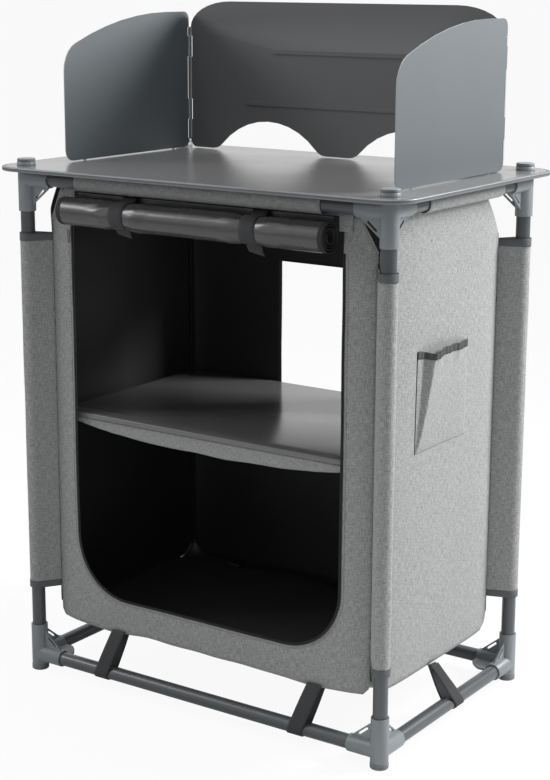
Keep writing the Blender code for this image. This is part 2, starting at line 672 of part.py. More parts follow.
def upright_slab(name, outlines, thickness, depth):
    """A plate that faces the front, its middle at the given depth."""
    return slab(name, outlines, thickness, Matrix.Translation((0, depth, 0)) @ UPRIGHT)


def build_screen_back():
    """The back panel, with its two pressed beads and its knuckles."""
    sheet = upright_slab("screen_back", [screen_back_outline()], SCREEN_SHEET, SHEET_OFFSET)
    front, back = SHEET_OFFSET - SCREEN_SHEET / 2, SHEET_OFFSET + SCREEN_SHEET / 2
    for tag, length, level in (("upper", UPPER_BEAD_LENGTH, UPPER_BEAD_LEVEL),
                               ("lower", LOWER_BEAD_LENGTH, LOWER_BEAD_LEVEL)):
        rise = BEAD_RISE + SCREEN_SHEET / 2
        groove_depth = BEAD_RECESS + CUT_OVERRUN
        join(sheet, upright_slab("bead_" + tag, [stadium((0, level), length, BEAD_HEIGHT)], rise,
                                 front - BEAD_RISE + rise / 2))
        cut(sheet, upright_slab("bead_groove_" + tag,
                                [stadium((0, level), length - 2 * BEAD_WALL, BEAD_HEIGHT - 2 * BEAD_WALL)],
                                groove_depth, back - BEAD_RECESS + groove_depth / 2))
    for sign in (-1, 1):
        add_knuckles(sheet, sign * PIN_X, 0)
    place_part("windscreen_back_panel", bake(sheet), SCREEN_CHARCOAL, SCREEN_PLACE)


def shoulder_curve():
    """From the top of a wing's front edge over its shoulder and along the long falling crown."""
    shoulder, crown = WING_SHOULDER_RADIUS, WING_CROWN_RADIUS
    centre = (WING_CROWN_START, WING_HEIGHT - crown)
    run = WING_LENGTH - shoulder - centre[0]
    rise = math.sqrt((crown - shoulder) ** 2 - run ** 2)
    lean = math.degrees(math.atan2(rise, run))
    return (arc((centre[0] + run, centre[1] + rise), (shoulder, shoulder), 0, lean, 5)
            + arc(centre, (crown, crown), lean, 90, 6)[1:])


def wing_outline():
    """One wing as (distance from the pin, height), with small glides under its bottom edge."""
    lift, half = WING_GLIDE_HEIGHT, WING_GLIDE_WIDTH / 2
    rear, foot = WING_REAR_RADIUS, WING_FOOT_RADIUS
    outline = arc((HINGE_EDGE_INSET + rear, lift + rear), (rear, rear), 180, 270, 4)
    for middle in (WING_GLIDE_INSET, WING_LENGTH - WING_GLIDE_INSET):
        outline += [(middle - half, lift), (middle - half, 0), (middle + half, 0), (middle + half, lift)]
    outline += arc((WING_LENGTH - foot, lift + foot), (foot, foot), -90, 0, 5)
    outline += shoulder_curve()
    outline += arc((HINGE_EDGE_INSET + rear, WING_HEIGHT - rear), (rear, rear), 90, 180, 4)
    return outline


def build_wing(name, sign, toe_in):
    """A wing, with its origin on its hinge's axis, reaching towards the front."""
    forward = Matrix.Rotation(math.radians(-90), 4, "Z") @ UPRIGHT
    sheet = slab(name + "_sheet", [wing_outline()], SCREEN_SHEET,
                 Matrix.Translation((SHEET_OFFSET * sign, 0, 0)) @ forward)
    add_knuckles(sheet, 0, 1)
    turn = Matrix.Rotation(-toe_in * sign, 4, "Z")
    place_part(name, bake(sheet), SCREEN_CHARCOAL,
               SCREEN_PLACE @ Matrix.Translation((sign * PIN_X, 0, 0)) @ turn)


def build_pins():
    levels = knuckle_levels()
    low, high = levels[0] - PIN_STAND_OUT, levels[-1] + PIN_STAND_OUT
    mesh = bake(turned("pin", [(0, high), (HINGE_PIN_RADIUS, high), (HINGE_PIN_RADIUS, low), (0, low)],
                       sides=HINGE_SIDES))
    for side, sign in (("left", -1), ("right", 1)):
        place_part("hinge_pin_" + side, mesh, PIN_STEEL,
                   SCREEN_PLACE @ Matrix.Translation((sign * PIN_X, 0, 0)))


# Fabric cabinet
def front_wall(x):
    """Depth of the front and back walls' cloth, drawn in at the corner seams."""
    return WALL_Y - (WALL_Y - CORNER_Y) * abs(x / CORNER_X) ** FRONT_BOW_POWER


def side_wall(y):
    """Width of the side walls' cloth, drawn in at the corner seams."""
    return WALL_X - (WALL_X - CORNER_X) * abs(y / CORNER_Y) ** SIDE_BOW_POWER


def spaced(half_length, trim):
    """Places along a wall, closer together towards its ends, where it bends; the trim cuts it short."""
    reach = half_length - trim
    places = [half_length * math.sin(math.pi / 2 * (2 * i / PLAN_STEPS - 1)) for i in range(PLAN_STEPS + 1)]
    return [-reach] + [place for place in places if abs(place) < reach] + [reach]


def front_plan(offset=0, trim=0):
    """The front wall seen from above; the trim keeps its ends off the side walls."""
    return [(x, -front_wall(x) - offset) for x in spaced(CORNER_X, trim)]


def side_plan(offset=0, trim=0):
    return [(side_wall(y) + offset, y) for y in spaced(CORNER_Y, trim)]


def upright_sheet(name, plan, low, high, thickness):
    return strip(name, [[(x, y, z) for x, y in plan] for z in (low, high)], thickness)


def side_sheet(name, sign, trim):
    """A side wall: straight below, leaning out to its rail above."""
    plan = side_plan(trim=trim)
    levels = ((BODY_BOTTOM, 0), (TOP_RAIL_LEVEL - SIDE_DRAW_HEIGHT, 0), (TOP_RAIL_LEVEL, SIDE_DRAW))
    return strip(name, [[(sign * (x + lean), y, z) for x, y in plan] for z, lean in levels], CLOTH)


def sleeve(name, half_length, along, centre):
    """The tunnel of cloth round a top rail."""
    tunnel = turned(name, [(SLEEVE_RADIUS, half_length), (SLEEVE_RADIUS, -half_length),
                           (SLEEVE_BORE, -half_length), (SLEEVE_BORE, half_length)], closed=True)
    turn = Matrix.Rotation(math.radians(90), 4, "Y" if along == "X" else "X")
    tunnel.matrix_world = Matrix.Translation(centre) @ turn
    return tunnel


def trim_corners(panel, start, drop, corner, radius, across):
    """Slant a wall's top corners down from the given start and round its bottom ones."""
    top = TOP_RAIL_LEVEL + CUT_OVERRUN
    slope = drop / (corner - start)
    far = corner + CORNER_INSET_X
    reach = 4 * (HALF_X + HALF_Y)
    turn = UPRIGHT if across == "X" else Matrix.Rotation(math.radians(90), 4, "Z") @ UPRIGHT
    low = BODY_BOTTOM - CUT_OVERRUN
    for sign in (-1, 1):
        slant = [(sign * (start - CUT_OVERRUN / slope), top), (sign * far, top),
                 (sign * far, TOP_RAIL_LEVEL - slope * (far - start))]
        rounding = [(sign * far, low), (sign * far, BODY_BOTTOM + radius)]
        rounding += [(sign * x, z) for x, z in
                     arc((corner - radius, BODY_BOTTOM + radius), (radius, radius), 0, -90, 6)]
        rounding += [(sign * (corner - radius), low)]
        for tag, outline in (("slant", slant), ("rounding", rounding)):
            cut(panel, slab(f"{panel.name}_{tag}_{sign}", [outline], reach, turn))


def door_outline(grow, top):
    """The door opening as (across, height): straight sides and a deep curve at the sill."""
    half, radius = DOOR_WIDTH / 2 + grow, DOOR_CORNER_RADIUS + grow
    right = arc((half - radius, DOOR_SILL - grow + radius), (radius, radius), -90, 0, 8) + [(half, top)]
    return [(-x, z) for x, z in reversed(right)] + right


def build_front_and_back():
    trim = CLOTH / 2 + SEAM_GAP
    for side, sign in (("front", -1), ("back", 1)):
        plan = [(x, -sign * y) for x, y in front_plan(trim=trim)]
        panel = upright_sheet("wall_" + side, plan, BODY_BOTTOM, TOP_RAIL_LEVEL, CLOTH)
        trim_corners(panel, TOP_CUT_X, TOP_CUT_DROP_X, CORNER_X, BOTTOM_CORNER_RADIUS_X, "X")
        join(panel, sleeve("sleeve_" + side, SLEEVE_HALF_X, "X", (0, sign * HALF_Y, TOP_RAIL_LEVEL)))
        if side == "front":
            outline = door_outline(0, DOOR_TOP)
        else:
            half = WINDOW_WIDTH / 2
            outline = [(-half, WINDOW_SILL), (half, WINDOW_SILL),
                       (half, WINDOW_SILL + WINDOW_HEIGHT), (-half, WINDOW_SILL + WINDOW_HEIGHT)]
        opening = slab("opening_" + side, [outline], 2 * (HALF_Y - WALL_Y + CLOTH),
                       Matrix.Translation((0, sign * WALL_Y, 0)) @ UPRIGHT)
        cut(panel, opening)
        finish(panel, f"fabric_{side}_panel", CLOTH_GREY)


def build_side_walls():
    trim = CLOTH / 2 + SEAM_GAP
    for side, sign in (("left", -1), ("right", 1)):
        panel = side_sheet("wall_" + side, sign, trim)
        trim_corners(panel, TOP_CUT_Y, TOP_CUT_DROP_Y, CORNER_Y, BOTTOM_CORNER_RADIUS_Y, "Y")
        join(panel, sleeve("sleeve_" + side, SLEEVE_HALF_Y, "Y", (sign * HALF_X, 0, TOP_RAIL_LEVEL)))
        finish(panel, f"fabric_{side}_panel", CLOTH_GREY)


def cabinet_outline(inset, corner):
    """The inside of the walls as one closed outline with eased corners, moved in by the inset."""
    inner = CLOTH / 2 + inset
    front = [(x, y + inner) for x, y in front_plan(trim=corner)]
    right = [(x - inner, y) for x, y in side_plan(trim=corner)]
    start, end = front[-1], right[0]
    radii = (end[0] - start[0], end[1] - start[1])
    near = arc((start[0], end[1]), radii, -90, 0, 6)[1:-1]
    far = arc((start[0], -end[1]), radii, 0, 90, 6)[1:-1]
    half = front + near + right + far
    return half + [(-x, -y) for x, y in half]


def build_floor():
    """The cabinet's floor cloth, inside the walls just over the tie straps."""
    floor = slab("floor", [cabinet_outline(SEAM_GAP, FLOOR_CORNER_RADIUS)], CLOTH,
                 Matrix.Translation((0, 0, BODY_BOTTOM + CLOTH / 2)))
    finish(floor, "fabric_floor", CLOTH_GREY)


def build_flaps():
    """Each leg's cloth sleeve and the diagonal tail to the cabinet's corner seam."""
    bore = TUBE_RADIUS + FLAP_SLEEVE_SLACK
    radius = bore + FLAP_SLEEVE_WALL
    height, middle = FLAP_TOP - FLAP_BOTTOM, (FLAP_TOP + FLAP_BOTTOM) / 2
    for corner, sign_x, sign_y, _ in CORNERS:
        leg = Vector((sign_x * HALF_X, sign_y * HALF_Y, 0))
        seam = Vector((sign_x * CORNER_X, sign_y * CORNER_Y, 0))
        away = (seam - leg).normalized()
        end = seam - away * (CLOTH + GAP)
        tunnel = turned("flap_" + corner, [(radius, height / 2), (radius, -height / 2),
                                           (bore, -height / 2), (bore, height / 2)], closed=True)
        tunnel.matrix_world = Matrix.Translation(leg + Vector((0, 0, middle)))
        start = leg + away * (bore + FLAP_SLEEVE_WALL / 2)
        tail = strip("tail_" + corner, [[(*start[:2], z), (*end[:2], z)] for z in (FLAP_BOTTOM, FLAP_TOP)],
                     CLOTH)
        join(tunnel, tail)
        finish(tunnel, "corner_flap_" + corner, CLOTH_GREY)


# Shelf
def sling_depth():
    return 2 * (CORNER_Y - CLOTH / 2 - SEAM_GAP)


def sling_outline(inset):
    """The sling's section seen from the front: straight rim above, belly below."""
    half = side_wall(sling_depth() / 2) - CLOTH / 2 - GAP - inset
    rim = SHELF_LEVEL - SHELF_THICKNESS - GAP
    edge = rim - SLING_RIM
    belly = SLING_SAG - SLING_RIM - inset
    shares = [2 * i / SLING_STEPS - 1 for i in range(SLING_STEPS + 1)]
    sag = [(half * share, edge - belly * (1 - abs(share) ** SLING_CURVE_POWER)) for share in shares]
    return [(half, rim), (-half, rim)] + sag


def build_shelf():
    front = front_wall(0) - CLOTH / 2 - SHELF_EDGE_GAP
    half = CORNER_X - CLOTH / 2 - SHELF_EDGE_GAP
    board = slab("shelf", [rounded_rectangle(half, front, SHELF_CORNER_RADIUS, 6)], SHELF_THICKNESS,
                 Matrix.Translation((0, 0, SHELF_LEVEL - SHELF_THICKNESS / 2)))
    bevel(board, SHELF_EDGE_ROUND)
    finish(board, "shelf_board", BOARD_GRAPHITE)
    depth = sling_depth()
    tray = slab("sling", [sling_outline(0)], depth, UPRIGHT)
    hollow = slab("sling_hollow", [[(x, z + (CUT_OVERRUN if z > SHELF_LEVEL - SHELF_THICKNESS - CLOTH else 0))
                                    for x, z in sling_outline(CLOTH)]], depth - 2 * CLOTH, UPRIGHT)
    cut(tray, hollow)
    finish(tray, "shelf_sling", CLOTH_GREY)


# Rolled-up door
def roll_axis():
    """Depth of the roll's axis: the door's cloth comes down against the front wall's outside."""
    return -(WALL_Y + CLOTH / 2 + GAP + DOOR_CLOTH / 2 + ROLL_RADIUS)


def roll_radius(turn):
    """Radius of the door's cloth after so many turns in."""
    return ROLL_RADIUS - ROLL_PITCH * turn


def roll_point(turn, fullness):
    """Depth and height of the cloth after so many turns, starting behind the roll and going under."""
    angle = 2 * math.pi * turn
    radius = roll_radius(turn) * fullness
    return roll_axis() + radius * math.cos(angle), ROLL_LEVEL - radius * math.sin(angle)


def build_roll():
    steps = round(ROLL_TURNS * ROLL_POINTS_PER_TURN)
    rows = []
    least = ROLL_PITCH
    for share, fullness in zip(ROLL_STATION_SHARES, ROLL_FULLNESS_SHARES):
        x = share * ROLL_LENGTH / 2
        top_y = roll_axis() + ROLL_RADIUS
        first_y, first_z = roll_point(0, fullness)
        row = [(x, top_y, ROLL_TAIL_TOP), (x, (top_y + first_y) / 2, (ROLL_TAIL_TOP + first_z) / 2)]
        spiral = [roll_point(i / ROLL_POINTS_PER_TURN, fullness) for i in range(steps + 1)]
        rows.append(row + [(x, y, z) for y, z in spiral])
        for i, (y, z) in enumerate(spiral[:-ROLL_POINTS_PER_TURN]):
            inner_y, inner_z = spiral[i + ROLL_POINTS_PER_TURN]
            least = min(least, math.hypot(y - inner_y, z - inner_z) - DOOR_CLOTH)
    print(f"least gap between the door's turns: {least / MM:.2f} mm")
    finish(strip("roll", rows, DOOR_CLOTH), "rolled_door", DOOR_COATED, crease=CLOTH_SMOOTH_ANGLE)


def build_roll_straps():
    """A webbing strap from the header over the front of the roll, with a loose end below."""
    lift = DOOR_CLOTH / 2 + GAP + ROLL_STRAP_THICKNESS / 2
    path = [(roll_axis() + ROLL_RADIUS - lift - DOOR_CLOTH / 2, ROLL_TAIL_TOP)]
    start, end, step = ROLL_STRAP_DEGREES
    for degrees in range(start, end + step, step):
        angle = math.radians(degrees)
        radius = roll_radius(degrees / 360) * ROLL_CINCH_SHARE + lift
        path.append((roll_axis() + radius * math.cos(angle), ROLL_LEVEL - radius * math.sin(angle)))
    last_y, last_z = path[-1]
    path += [(last_y + ROLL_STRAP_KICK * share, last_z - ROLL_STRAP_TAIL * share) for share in (0.5, 1)]
    for side, sign in (("left", -1), ("right", 1)):
        middle = ROLL_STRAP_SHIFT + sign * ROLL_STRAP_SPACING / 2
        rows = [[(middle + edge * ROLL_STRAP_WIDTH / 2, y, z) for y, z in path] for edge in (-1, 1)]
        finish(strip("roll_strap", rows, ROLL_STRAP_THICKNESS), "roll_strap_" + side, WEBBING,
               crease=CLOTH_SMOOTH_ANGLE)


# Door zip
def build_zip():
    """The zip tape on the front wall's face round the door, and the slider at its left top."""
    face = CLOTH / 2 + GAP + ZIP_TAPE / 2
    top = ROLL_LEVEL - ROLL_RADIUS
    outer = door_outline(ZIP_WIDTH, top)
    inner = door_outline(0, top)
    band = slab("zip_band", [outer + list(reversed(inner))], 4 * (HALF_Y - WALL_Y),
                Matrix.Translation((0, -WALL_Y, 0)) @ UPRIGHT)
    tape = upright_sheet("zip_tape", front_plan(face, CLOTH), BODY_BOTTOM, TOP_RAIL_LEVEL, ZIP_TAPE)
    boolean(tape, band, "INTERSECT")
    finish(tape, "door_zip_tape", ZIP_BLACK)

    x = -(DOOR_WIDTH / 2 + ZIP_WIDTH / 2)
    back = -front_wall(x + SLIDER_WIDTH / 2) - face - ZIP_TAPE / 2 - GAP
    high = top - SLIDER_UNDER_ROLL
    slider = block("slider", (x - SLIDER_WIDTH / 2, back - SLIDER_DEPTH, high - SLIDER_LENGTH),
                   (x + SLIDER_WIDTH / 2, back, high))
    bevel(slider, SLIDER_EDGE)
    hang = Matrix.Translation((x, back - SLIDER_DEPTH, high - SLIDER_LENGTH / 2)) @ UPRIGHT
    pull = stadium((PULL_LENGTH / 2 - PULL_WIDTH / 2, 0), PULL_LENGTH, PULL_WIDTH, 5)
    join(slider, slab("pull", [pull], PULL_THICKNESS, hang @ Matrix.Rotation(math.radians(-90), 4, "Z")))
    finish(slider, "zip_slider", SLIDER_METAL)


# Side pocket
def pocket_depth(u, v):
    """How far the pocket stands off the wall, from u across and v up, both 0 to 1."""
    across = math.sin(math.pi * u) ** POCKET_ACROSS_POWER
    return POCKET_BULGE * across * math.sin(math.pi / 2 * v) ** POCKET_UP_POWER


def build_pocket():
    """A loose pocket, sewn to the wall at its sides and bottom, with elastic round its mouth."""
    lift = CLOTH / 2 + GAP + POCKET_CLOTH / 2

    def point(u, v, extra=0):
        y = -POCKET_FORWARD + POCKET_WIDTH * (u - 0.5)
        return (side_wall(y) + lift + extra + pocket_depth(u, v), y, POCKET_BOTTOM + POCKET_HEIGHT * v)

    across = [i / POCKET_STEPS for i in range(POCKET_STEPS + 1)]
    rows = [[point(u, j / POCKET_ROWS) for u in across] for j in range(POCKET_ROWS + 1)]
    finish(strip("pocket", rows, POCKET_CLOTH), "side_pocket", CLOTH_GREY, crease=CLOTH_SMOOTH_ANGLE)
    outside = POCKET_CLOTH / 2 + GAP + ELASTIC_THICKNESS / 2
    start = 1 - ELASTIC_HEIGHT / POCKET_HEIGHT
    band = [[point(u, v, outside) for u in across] for v in (start, 1)]
    finish(strip("elastic", band, ELASTIC_THICKNESS), "pocket_elastic", WEBBING, crease=CLOTH_SMOOTH_ANGLE)


# Tie straps
def tie_path():
    """A strap's loop round a bottom rail, as (outward from the rail's axis, height)."""
    radius = TUBE_RADIUS + GAP + TIE_THICKNESS / 2
    top = BODY_BOTTOM - GAP
    inner = -WALL_OFFSET
    lean = math.degrees(math.atan2(radius - inner - TIE_SPREAD / 2, top - RAIL_DROP))
    loop = arc((0, RAIL_DROP), (radius, radius), lean / 2, -180 - lean / 2, TIE_STEPS)
    return [(inner + TIE_SPREAD / 2, top)] + loop + [(inner - TIE_SPREAD, top)]


def build_tie(name, place, slant):
    top = BODY_BOTTOM - GAP
    rows = []
    for edge in (-1, 1):
        rows.append([(edge * TIE_WIDTH / 2 + slant * (z - RAIL_DROP) / (top - RAIL_DROP), -out, z)
                     for out, z in tie_path()])
    strap = strip(name + "_strap", rows, TIE_THICKNESS)
    place_part(name, bake(strap), WEBBING, place, crease=CLOTH_SMOOTH_ANGLE)


def build_ties():
    half = TIE_FRONT_SPREAD / 2
    back = Matrix.Rotation(math.radians(180), 4, "Z")
    for side, sign in (("left", -1), ("right", 1)):
        place = Matrix.Translation((sign * half, -HALF_Y, 0))
        build_tie("tie_strap_front_" + side, place, TIE_FRONT_SLANT)
        build_tie("tie_strap_back_" + side, back @ Matrix.Translation((-sign * half, -HALF_Y, 0)),
                  -TIE_FRONT_SLANT)
        turn = Matrix.Rotation(math.radians(90 * sign), 4, "Z")
        build_tie("tie_strap_" + side, turn @ Matrix.Translation((sign * TIE_SIDE_BACK, -HALF_X, 0)),
                  -sign * TIE_SIDE_SLANT)


build_corners()
build_tubes()
build_table()
build_screen_back()
build_wing("windscreen_left_wing", -1, LEFT_TOE_IN)
build_wing("windscreen_right_wing", 1, RIGHT_TOE_IN)
build_pins()
build_front_and_back()
build_side_walls()
build_floor()
build_flaps()
build_shelf()
build_roll()
build_roll_straps()
build_zip()
build_pocket()
build_ties()
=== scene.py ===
# %% [markdown]
# # A camping cupboard, dressed
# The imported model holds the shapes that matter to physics: tubes, corner mouldings, boards and
# plain cloth. This lesson keeps them where they are and gives each the surface that the real
# cupboard has. The frame is loaded first, because every later piece reads its place from it.

# %% Load the frame
import math

import bmesh
import bpy
from mathutils import Matrix, Vector, noise


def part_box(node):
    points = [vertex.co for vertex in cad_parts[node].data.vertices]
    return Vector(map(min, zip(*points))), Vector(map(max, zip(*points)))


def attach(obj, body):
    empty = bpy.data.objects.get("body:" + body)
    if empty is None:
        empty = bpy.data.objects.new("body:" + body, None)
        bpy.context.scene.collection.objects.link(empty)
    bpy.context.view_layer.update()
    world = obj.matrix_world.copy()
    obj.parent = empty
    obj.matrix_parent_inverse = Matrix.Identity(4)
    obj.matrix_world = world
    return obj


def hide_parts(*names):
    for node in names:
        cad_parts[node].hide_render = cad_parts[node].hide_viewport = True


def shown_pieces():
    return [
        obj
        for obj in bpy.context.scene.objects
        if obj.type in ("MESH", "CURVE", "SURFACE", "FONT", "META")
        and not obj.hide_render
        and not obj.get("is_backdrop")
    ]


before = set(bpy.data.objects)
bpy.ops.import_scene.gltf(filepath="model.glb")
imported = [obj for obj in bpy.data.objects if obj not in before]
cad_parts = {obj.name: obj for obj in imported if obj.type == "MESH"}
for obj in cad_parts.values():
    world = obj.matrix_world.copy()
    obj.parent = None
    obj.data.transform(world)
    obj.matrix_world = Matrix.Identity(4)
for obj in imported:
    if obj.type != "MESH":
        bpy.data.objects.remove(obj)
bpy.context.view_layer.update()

MM = 0.001

# %% [markdown]
# ## The camera
# The cupboard was photographed from its right front corner, a little above the worktop. The view
# was worked out from the straight edges of the frame, so it is written down as a place, three
# turns and a focal length.

# %% Set the camera
PHOTO_HEIGHT = 780
FOCAL_PIXELS = 1738.03
SENSOR = 36
view_data = bpy.data.cameras.new("front_right_view")
view_data.sensor_width = SENSOR
view_data.lens = FOCAL_PIXELS * SENSOR / PHOTO_HEIGHT
view_data.clip_start, view_data.clip_end = 0.05, 200
view = bpy.data.objects.new("front_right_view", view_data)
bpy.context.scene.collection.objects.link(view)
turn, tilt, roll = (math.radians(angle) for angle in (34.3419, 90 - 13.4837, 0.256))
view.matrix_world = (Matrix.Translation((1.51546, -2.21310, 1.12279)) @ Matrix.Rotation(turn, 4, "Z")
                     @ Matrix.Rotation(tilt, 4, "X") @ Matrix.Rotation(roll, 4, "Z"))
bpy.context.scene.camera = view
print("lens:", round(view_data.lens, 1), "mm")

# %% [markdown]
# ## Shader maths in plain Python
# A procedural finish is a small formula over the surface. Wiring Math nodes by hand hides that
# formula, so a socket is wrapped in a class whose operators add the nodes. A finish is then a
# material with one method that adds any node, and one that feeds its shader.

# %% Wrap a socket and a material
class Field:
    """A socket whose Python operators add Math nodes."""

    def __init__(self, finish, socket):
        self.finish, self.socket = finish, socket

    def math(self, operation, *values):
        sockets = dict(enumerate(values))
        return self.finish.node("ShaderNodeMath", {"operation": operation}, sockets)

    def __add__(self, other):
        return self.math("ADD", self, other)

    def __sub__(self, other):
        return self.math("SUBTRACT", self, other)

    def __rsub__(self, other):
        return self.math("SUBTRACT", other, self)

    def __mul__(self, other):
        return self.math("MULTIPLY", self, other)

    __radd__, __rmul__ = __add__, __mul__


class Finish:
    """A Principled material and the nodes that vary it."""

    def __init__(self, name, colour, roughness, metallic=0.0, **fixed):
        self.material = bpy.data.materials.new(name)
        self.material.use_nodes = True
        self.material.diffuse_color = (*colour, 1)
        self.tree = self.material.node_tree
        self.shader = self.tree.nodes["Principled BSDF"]
        self.colour, self.roughness = (*colour, 1), roughness
        self.feed("Base Color", self.colour)
        self.feed("Roughness", roughness)
        self.feed("Metallic", metallic)
        for socket, value in fixed.items():
            self.feed(socket.replace("_", " ").title().replace("Ior", "IOR"), value)

    def plug(self, value, socket):
        if isinstance(value, Field):
            self.tree.links.new(value.socket, socket)
        else:
            socket.default_value = value

    def node(self, kind, settings=None, sockets=None, output=0):
        """Add a node: its settings first, then the values or links of its sockets."""
        node = self.tree.nodes.new(kind)
        for key, value in (settings or {}).items():
            if key == "stops":
                ramp = node.color_ramp.elements
                while len(ramp) < len(value):
                    ramp.new(0.5)
                for element, (place, colour) in zip(ramp, value):
                    element.position, element.color = place, colour
            else:
                setattr(node, key, value)
        for key, value in (sockets or {}).items():
            self.plug(value, node.inputs[key])
        return Field(self, node.outputs[output])

    def feed(self, socket, value):
        self.plug(value, self.shader.inputs[socket])

    def on_object(self, scale=(1, 1, 1)):
        """Object coordinates, stretched by a Mapping node."""
        place = self.node("ShaderNodeTexCoord", output=3)
        return self.node("ShaderNodeMapping", {}, {"Vector": place, "Scale": scale})

    def on_cloth(self, scale=(1, 1, 1)):
        """The piece's own flat cut, in metres, stretched by a Mapping node."""
        place = self.node("ShaderNodeUVMap", {"uv_map": "cut"})
        return self.node("ShaderNodeMapping", {}, {"Vector": place, "Scale": scale})

    def grain(self, place, scale, detail=2.0, roughness=0.5):
        return self.node("ShaderNodeTexNoise", {}, {"Vector": place, "Scale": scale, "Detail": detail,
                                                    "Roughness": roughness})

    def shades(self, factor, dark, light):
        """Mix two brightnesses of the finish's own colour."""
        colours = [(*(min(1.0, part * share) for part in self.colour[:3]), 1) for share in (dark, light)]
        return self.node("ShaderNodeMix", {"data_type": "RGBA"}, {0: factor, 6: colours[0], 7: colours[1]},
                         output=2)

    def relief(self, height, distance, strength=1.0):
        bump = self.node("ShaderNodeBump", {}, {"Height": height, "Distance": distance,
                                                "Strength": strength})
        self.feed("Normal", bump)


print("Field and Finish are ready")

# %% [markdown]
# ## Hard finishes
# Powder coat has a fine orange peel, moulded nylon a finer matte grain, laminate a smooth face
# with a slight haze, and coated sheet a tight satin. The grain sizes differ more than the colours
# do, so each finish gets its own noise scale and its own bump depth in real millimetres.

# %% Make the hard finishes
def coated(name, colour, roughness, grain, depth, spread=0.08, shade=0.06, metallic=0.0, **fixed):
    """A finish with a fine grain: roughness and shade wander a little, and bump follows the grain."""
    finish = Finish(name, colour, roughness, metallic, **fixed)
    place = finish.on_object()
    cloud = finish.grain(place, 14, 3.0)
    fine = finish.grain(place, 1 / grain, 2.0)
    finish.feed("Base Color", finish.shades(cloud, 1 - shade, 1 + shade))
    finish.feed("Roughness", cloud * spread + fine * spread + (roughness - spread))
    finish.relief(fine, depth, 0.6)
    return finish


TUBE_PAINT = coated("tube_paint", (0.075, 0.083, 0.090), 0.32, 0.9 * MM, 0.05 * MM)
MOULDED = coated("moulded_nylon", (0.200, 0.222, 0.236), 0.40, 0.5 * MM, 0.05 * MM)
SOFT_FOOT = coated("foot_nylon", (0.16, 0.17, 0.18), 0.60, 0.6 * MM, 0.05 * MM)
LAMINATE = coated("worktop_laminate", (0.158, 0.158, 0.159), 0.22, 0.5 * MM, 0.02 * MM, 0.05, 0.04)
RIM_METAL = coated("rim_metal", (0.17, 0.18, 0.19), 0.38, 0.6 * MM, 0.02 * MM, metallic=0.3)
SCREEN_COAT = coated("screen_coat", (0.104, 0.106, 0.110), 0.52, 0.45 * MM, 0.02 * MM, 0.05, 0.05)
WING_COAT = coated("wing_coat", (0.092, 0.108, 0.116), 0.52, 0.45 * MM, 0.02 * MM, 0.05, 0.05)
# Painted highlight: a light grey finish for the windscreen's narrow edge faces, standing in for the light
# caught along each sheet's edge.
SCREEN_EDGE_HIGHLIGHT = coated("screen_edge_painted_highlight", (0.42, 0.43, 0.44), 0.35, 0.45 * MM, 0.01 * MM)
PIN_STEEL = coated("pin_steel", (0.45, 0.46, 0.47), 0.28, 0.4 * MM, 0.01 * MM, metallic=1.0)
SLIDER_METAL = coated("slider_metal", (0.16, 0.16, 0.165), 0.36, 0.4 * MM, 0.02 * MM, metallic=0.8)
print("hard finishes:", [item.material.name for item in (TUBE_PAINT, MOULDED, LAMINATE, SCREEN_COAT)])

# %% [markdown]
# ## Cloth finishes
# The outer cloth is a heathered grey: light and dark fibres are spun together, so single warp and
# weft yarns come out paler or darker for a few millimetres. Two stretched noises, one along each
# yarn direction, give that, and they read the flat cut of each piece, so the yarns follow the cloth
# round every bend. The inside is a black coating, and the straps are ribbed webbing.

# %% Make the cloth finishes
YARN = 0.75 * MM


def heather(name, colour):
    finish = Finish(name, colour, 0.92, Sheen_Weight=0.12, Sheen_Roughness=0.5)
    warp = finish.grain(finish.on_cloth((1 / (1.1 * MM), 1 / (11 * MM), 1)), 1.0, 2.0, 0.6)
    weft = finish.grain(finish.on_cloth((1 / (9 * MM), 1 / (1.1 * MM), 1)), 1.0, 2.0, 0.6)
    broad = finish.grain(finish.on_cloth(), 30.0, 2.0)
    flecks = (warp + weft - 1.0) * 2.4 + 0.5 + (broad - 0.5) * 0.15
    finish.feed("Base Color", finish.shades(flecks.math("MINIMUM", flecks.math("MAXIMUM", flecks, 0.0), 1.0),
                                            0.68, 1.30))
    wave = {"wave_type": "BANDS", "bands_direction": "X", "wave_profile": "SIN"}
    size = 2 * math.pi / (20 * YARN)
    across = finish.node("ShaderNodeTexWave", wave, {"Vector": finish.on_cloth(), "Scale": size,
                                                     "Distortion": 0.6, "Detail": 1.0}, output=1)
    along = finish.node("ShaderNodeTexWave", dict(wave, bands_direction="Y"),
                        {"Vector": finish.on_cloth(), "Scale": size, "Distortion": 0.6, "Detail": 1.0},
                        output=1)
    finish.relief(across + along + flecks * 0.8, 0.12 * MM, 0.7)
    return finish


def lining(name, colour, roughness, depth, gloss):
    """A smooth coating over a weave that only just shows, with fine crinkles."""
    finish = Finish(name, colour, roughness, Specular_Ior_Level=gloss)
    crinkle = finish.grain(finish.on_cloth(), 60.0, 4.0, 0.6)
    haze = finish.grain(finish.on_cloth(), 9.0, 2.0)
    finish.feed("Base Color", finish.shades(haze, 0.85, 1.15))
    finish.feed("Roughness", haze * 0.12 + (roughness - 0.06))
    finish.relief(crinkle, depth, 0.6)
    return finish


def ribbed(name, colour, rib, roughness=0.8):
    """Woven tape: ribs across its width, which is the cut's first direction."""
    finish = Finish(name, colour, roughness)
    size = 2 * math.pi / (20 * rib)
    ribs = finish.node("ShaderNodeTexWave", {"wave_type": "BANDS", "bands_direction": "Y"},
                       {"Vector": finish.on_cloth(), "Scale": size, "Distortion": 0.4, "Detail": 1.0},
                       output=1)
    herring = finish.grain(finish.on_cloth((1 / (0.8 * MM), 1 / (2.5 * MM), 1)), 1.0, 1.0)
    finish.feed("Base Color", finish.shades(ribs * 0.5 + herring * 0.5, 0.75, 1.3))
    finish.relief(ribs + herring * 0.5, 0.15 * MM, 0.8)
    return finish


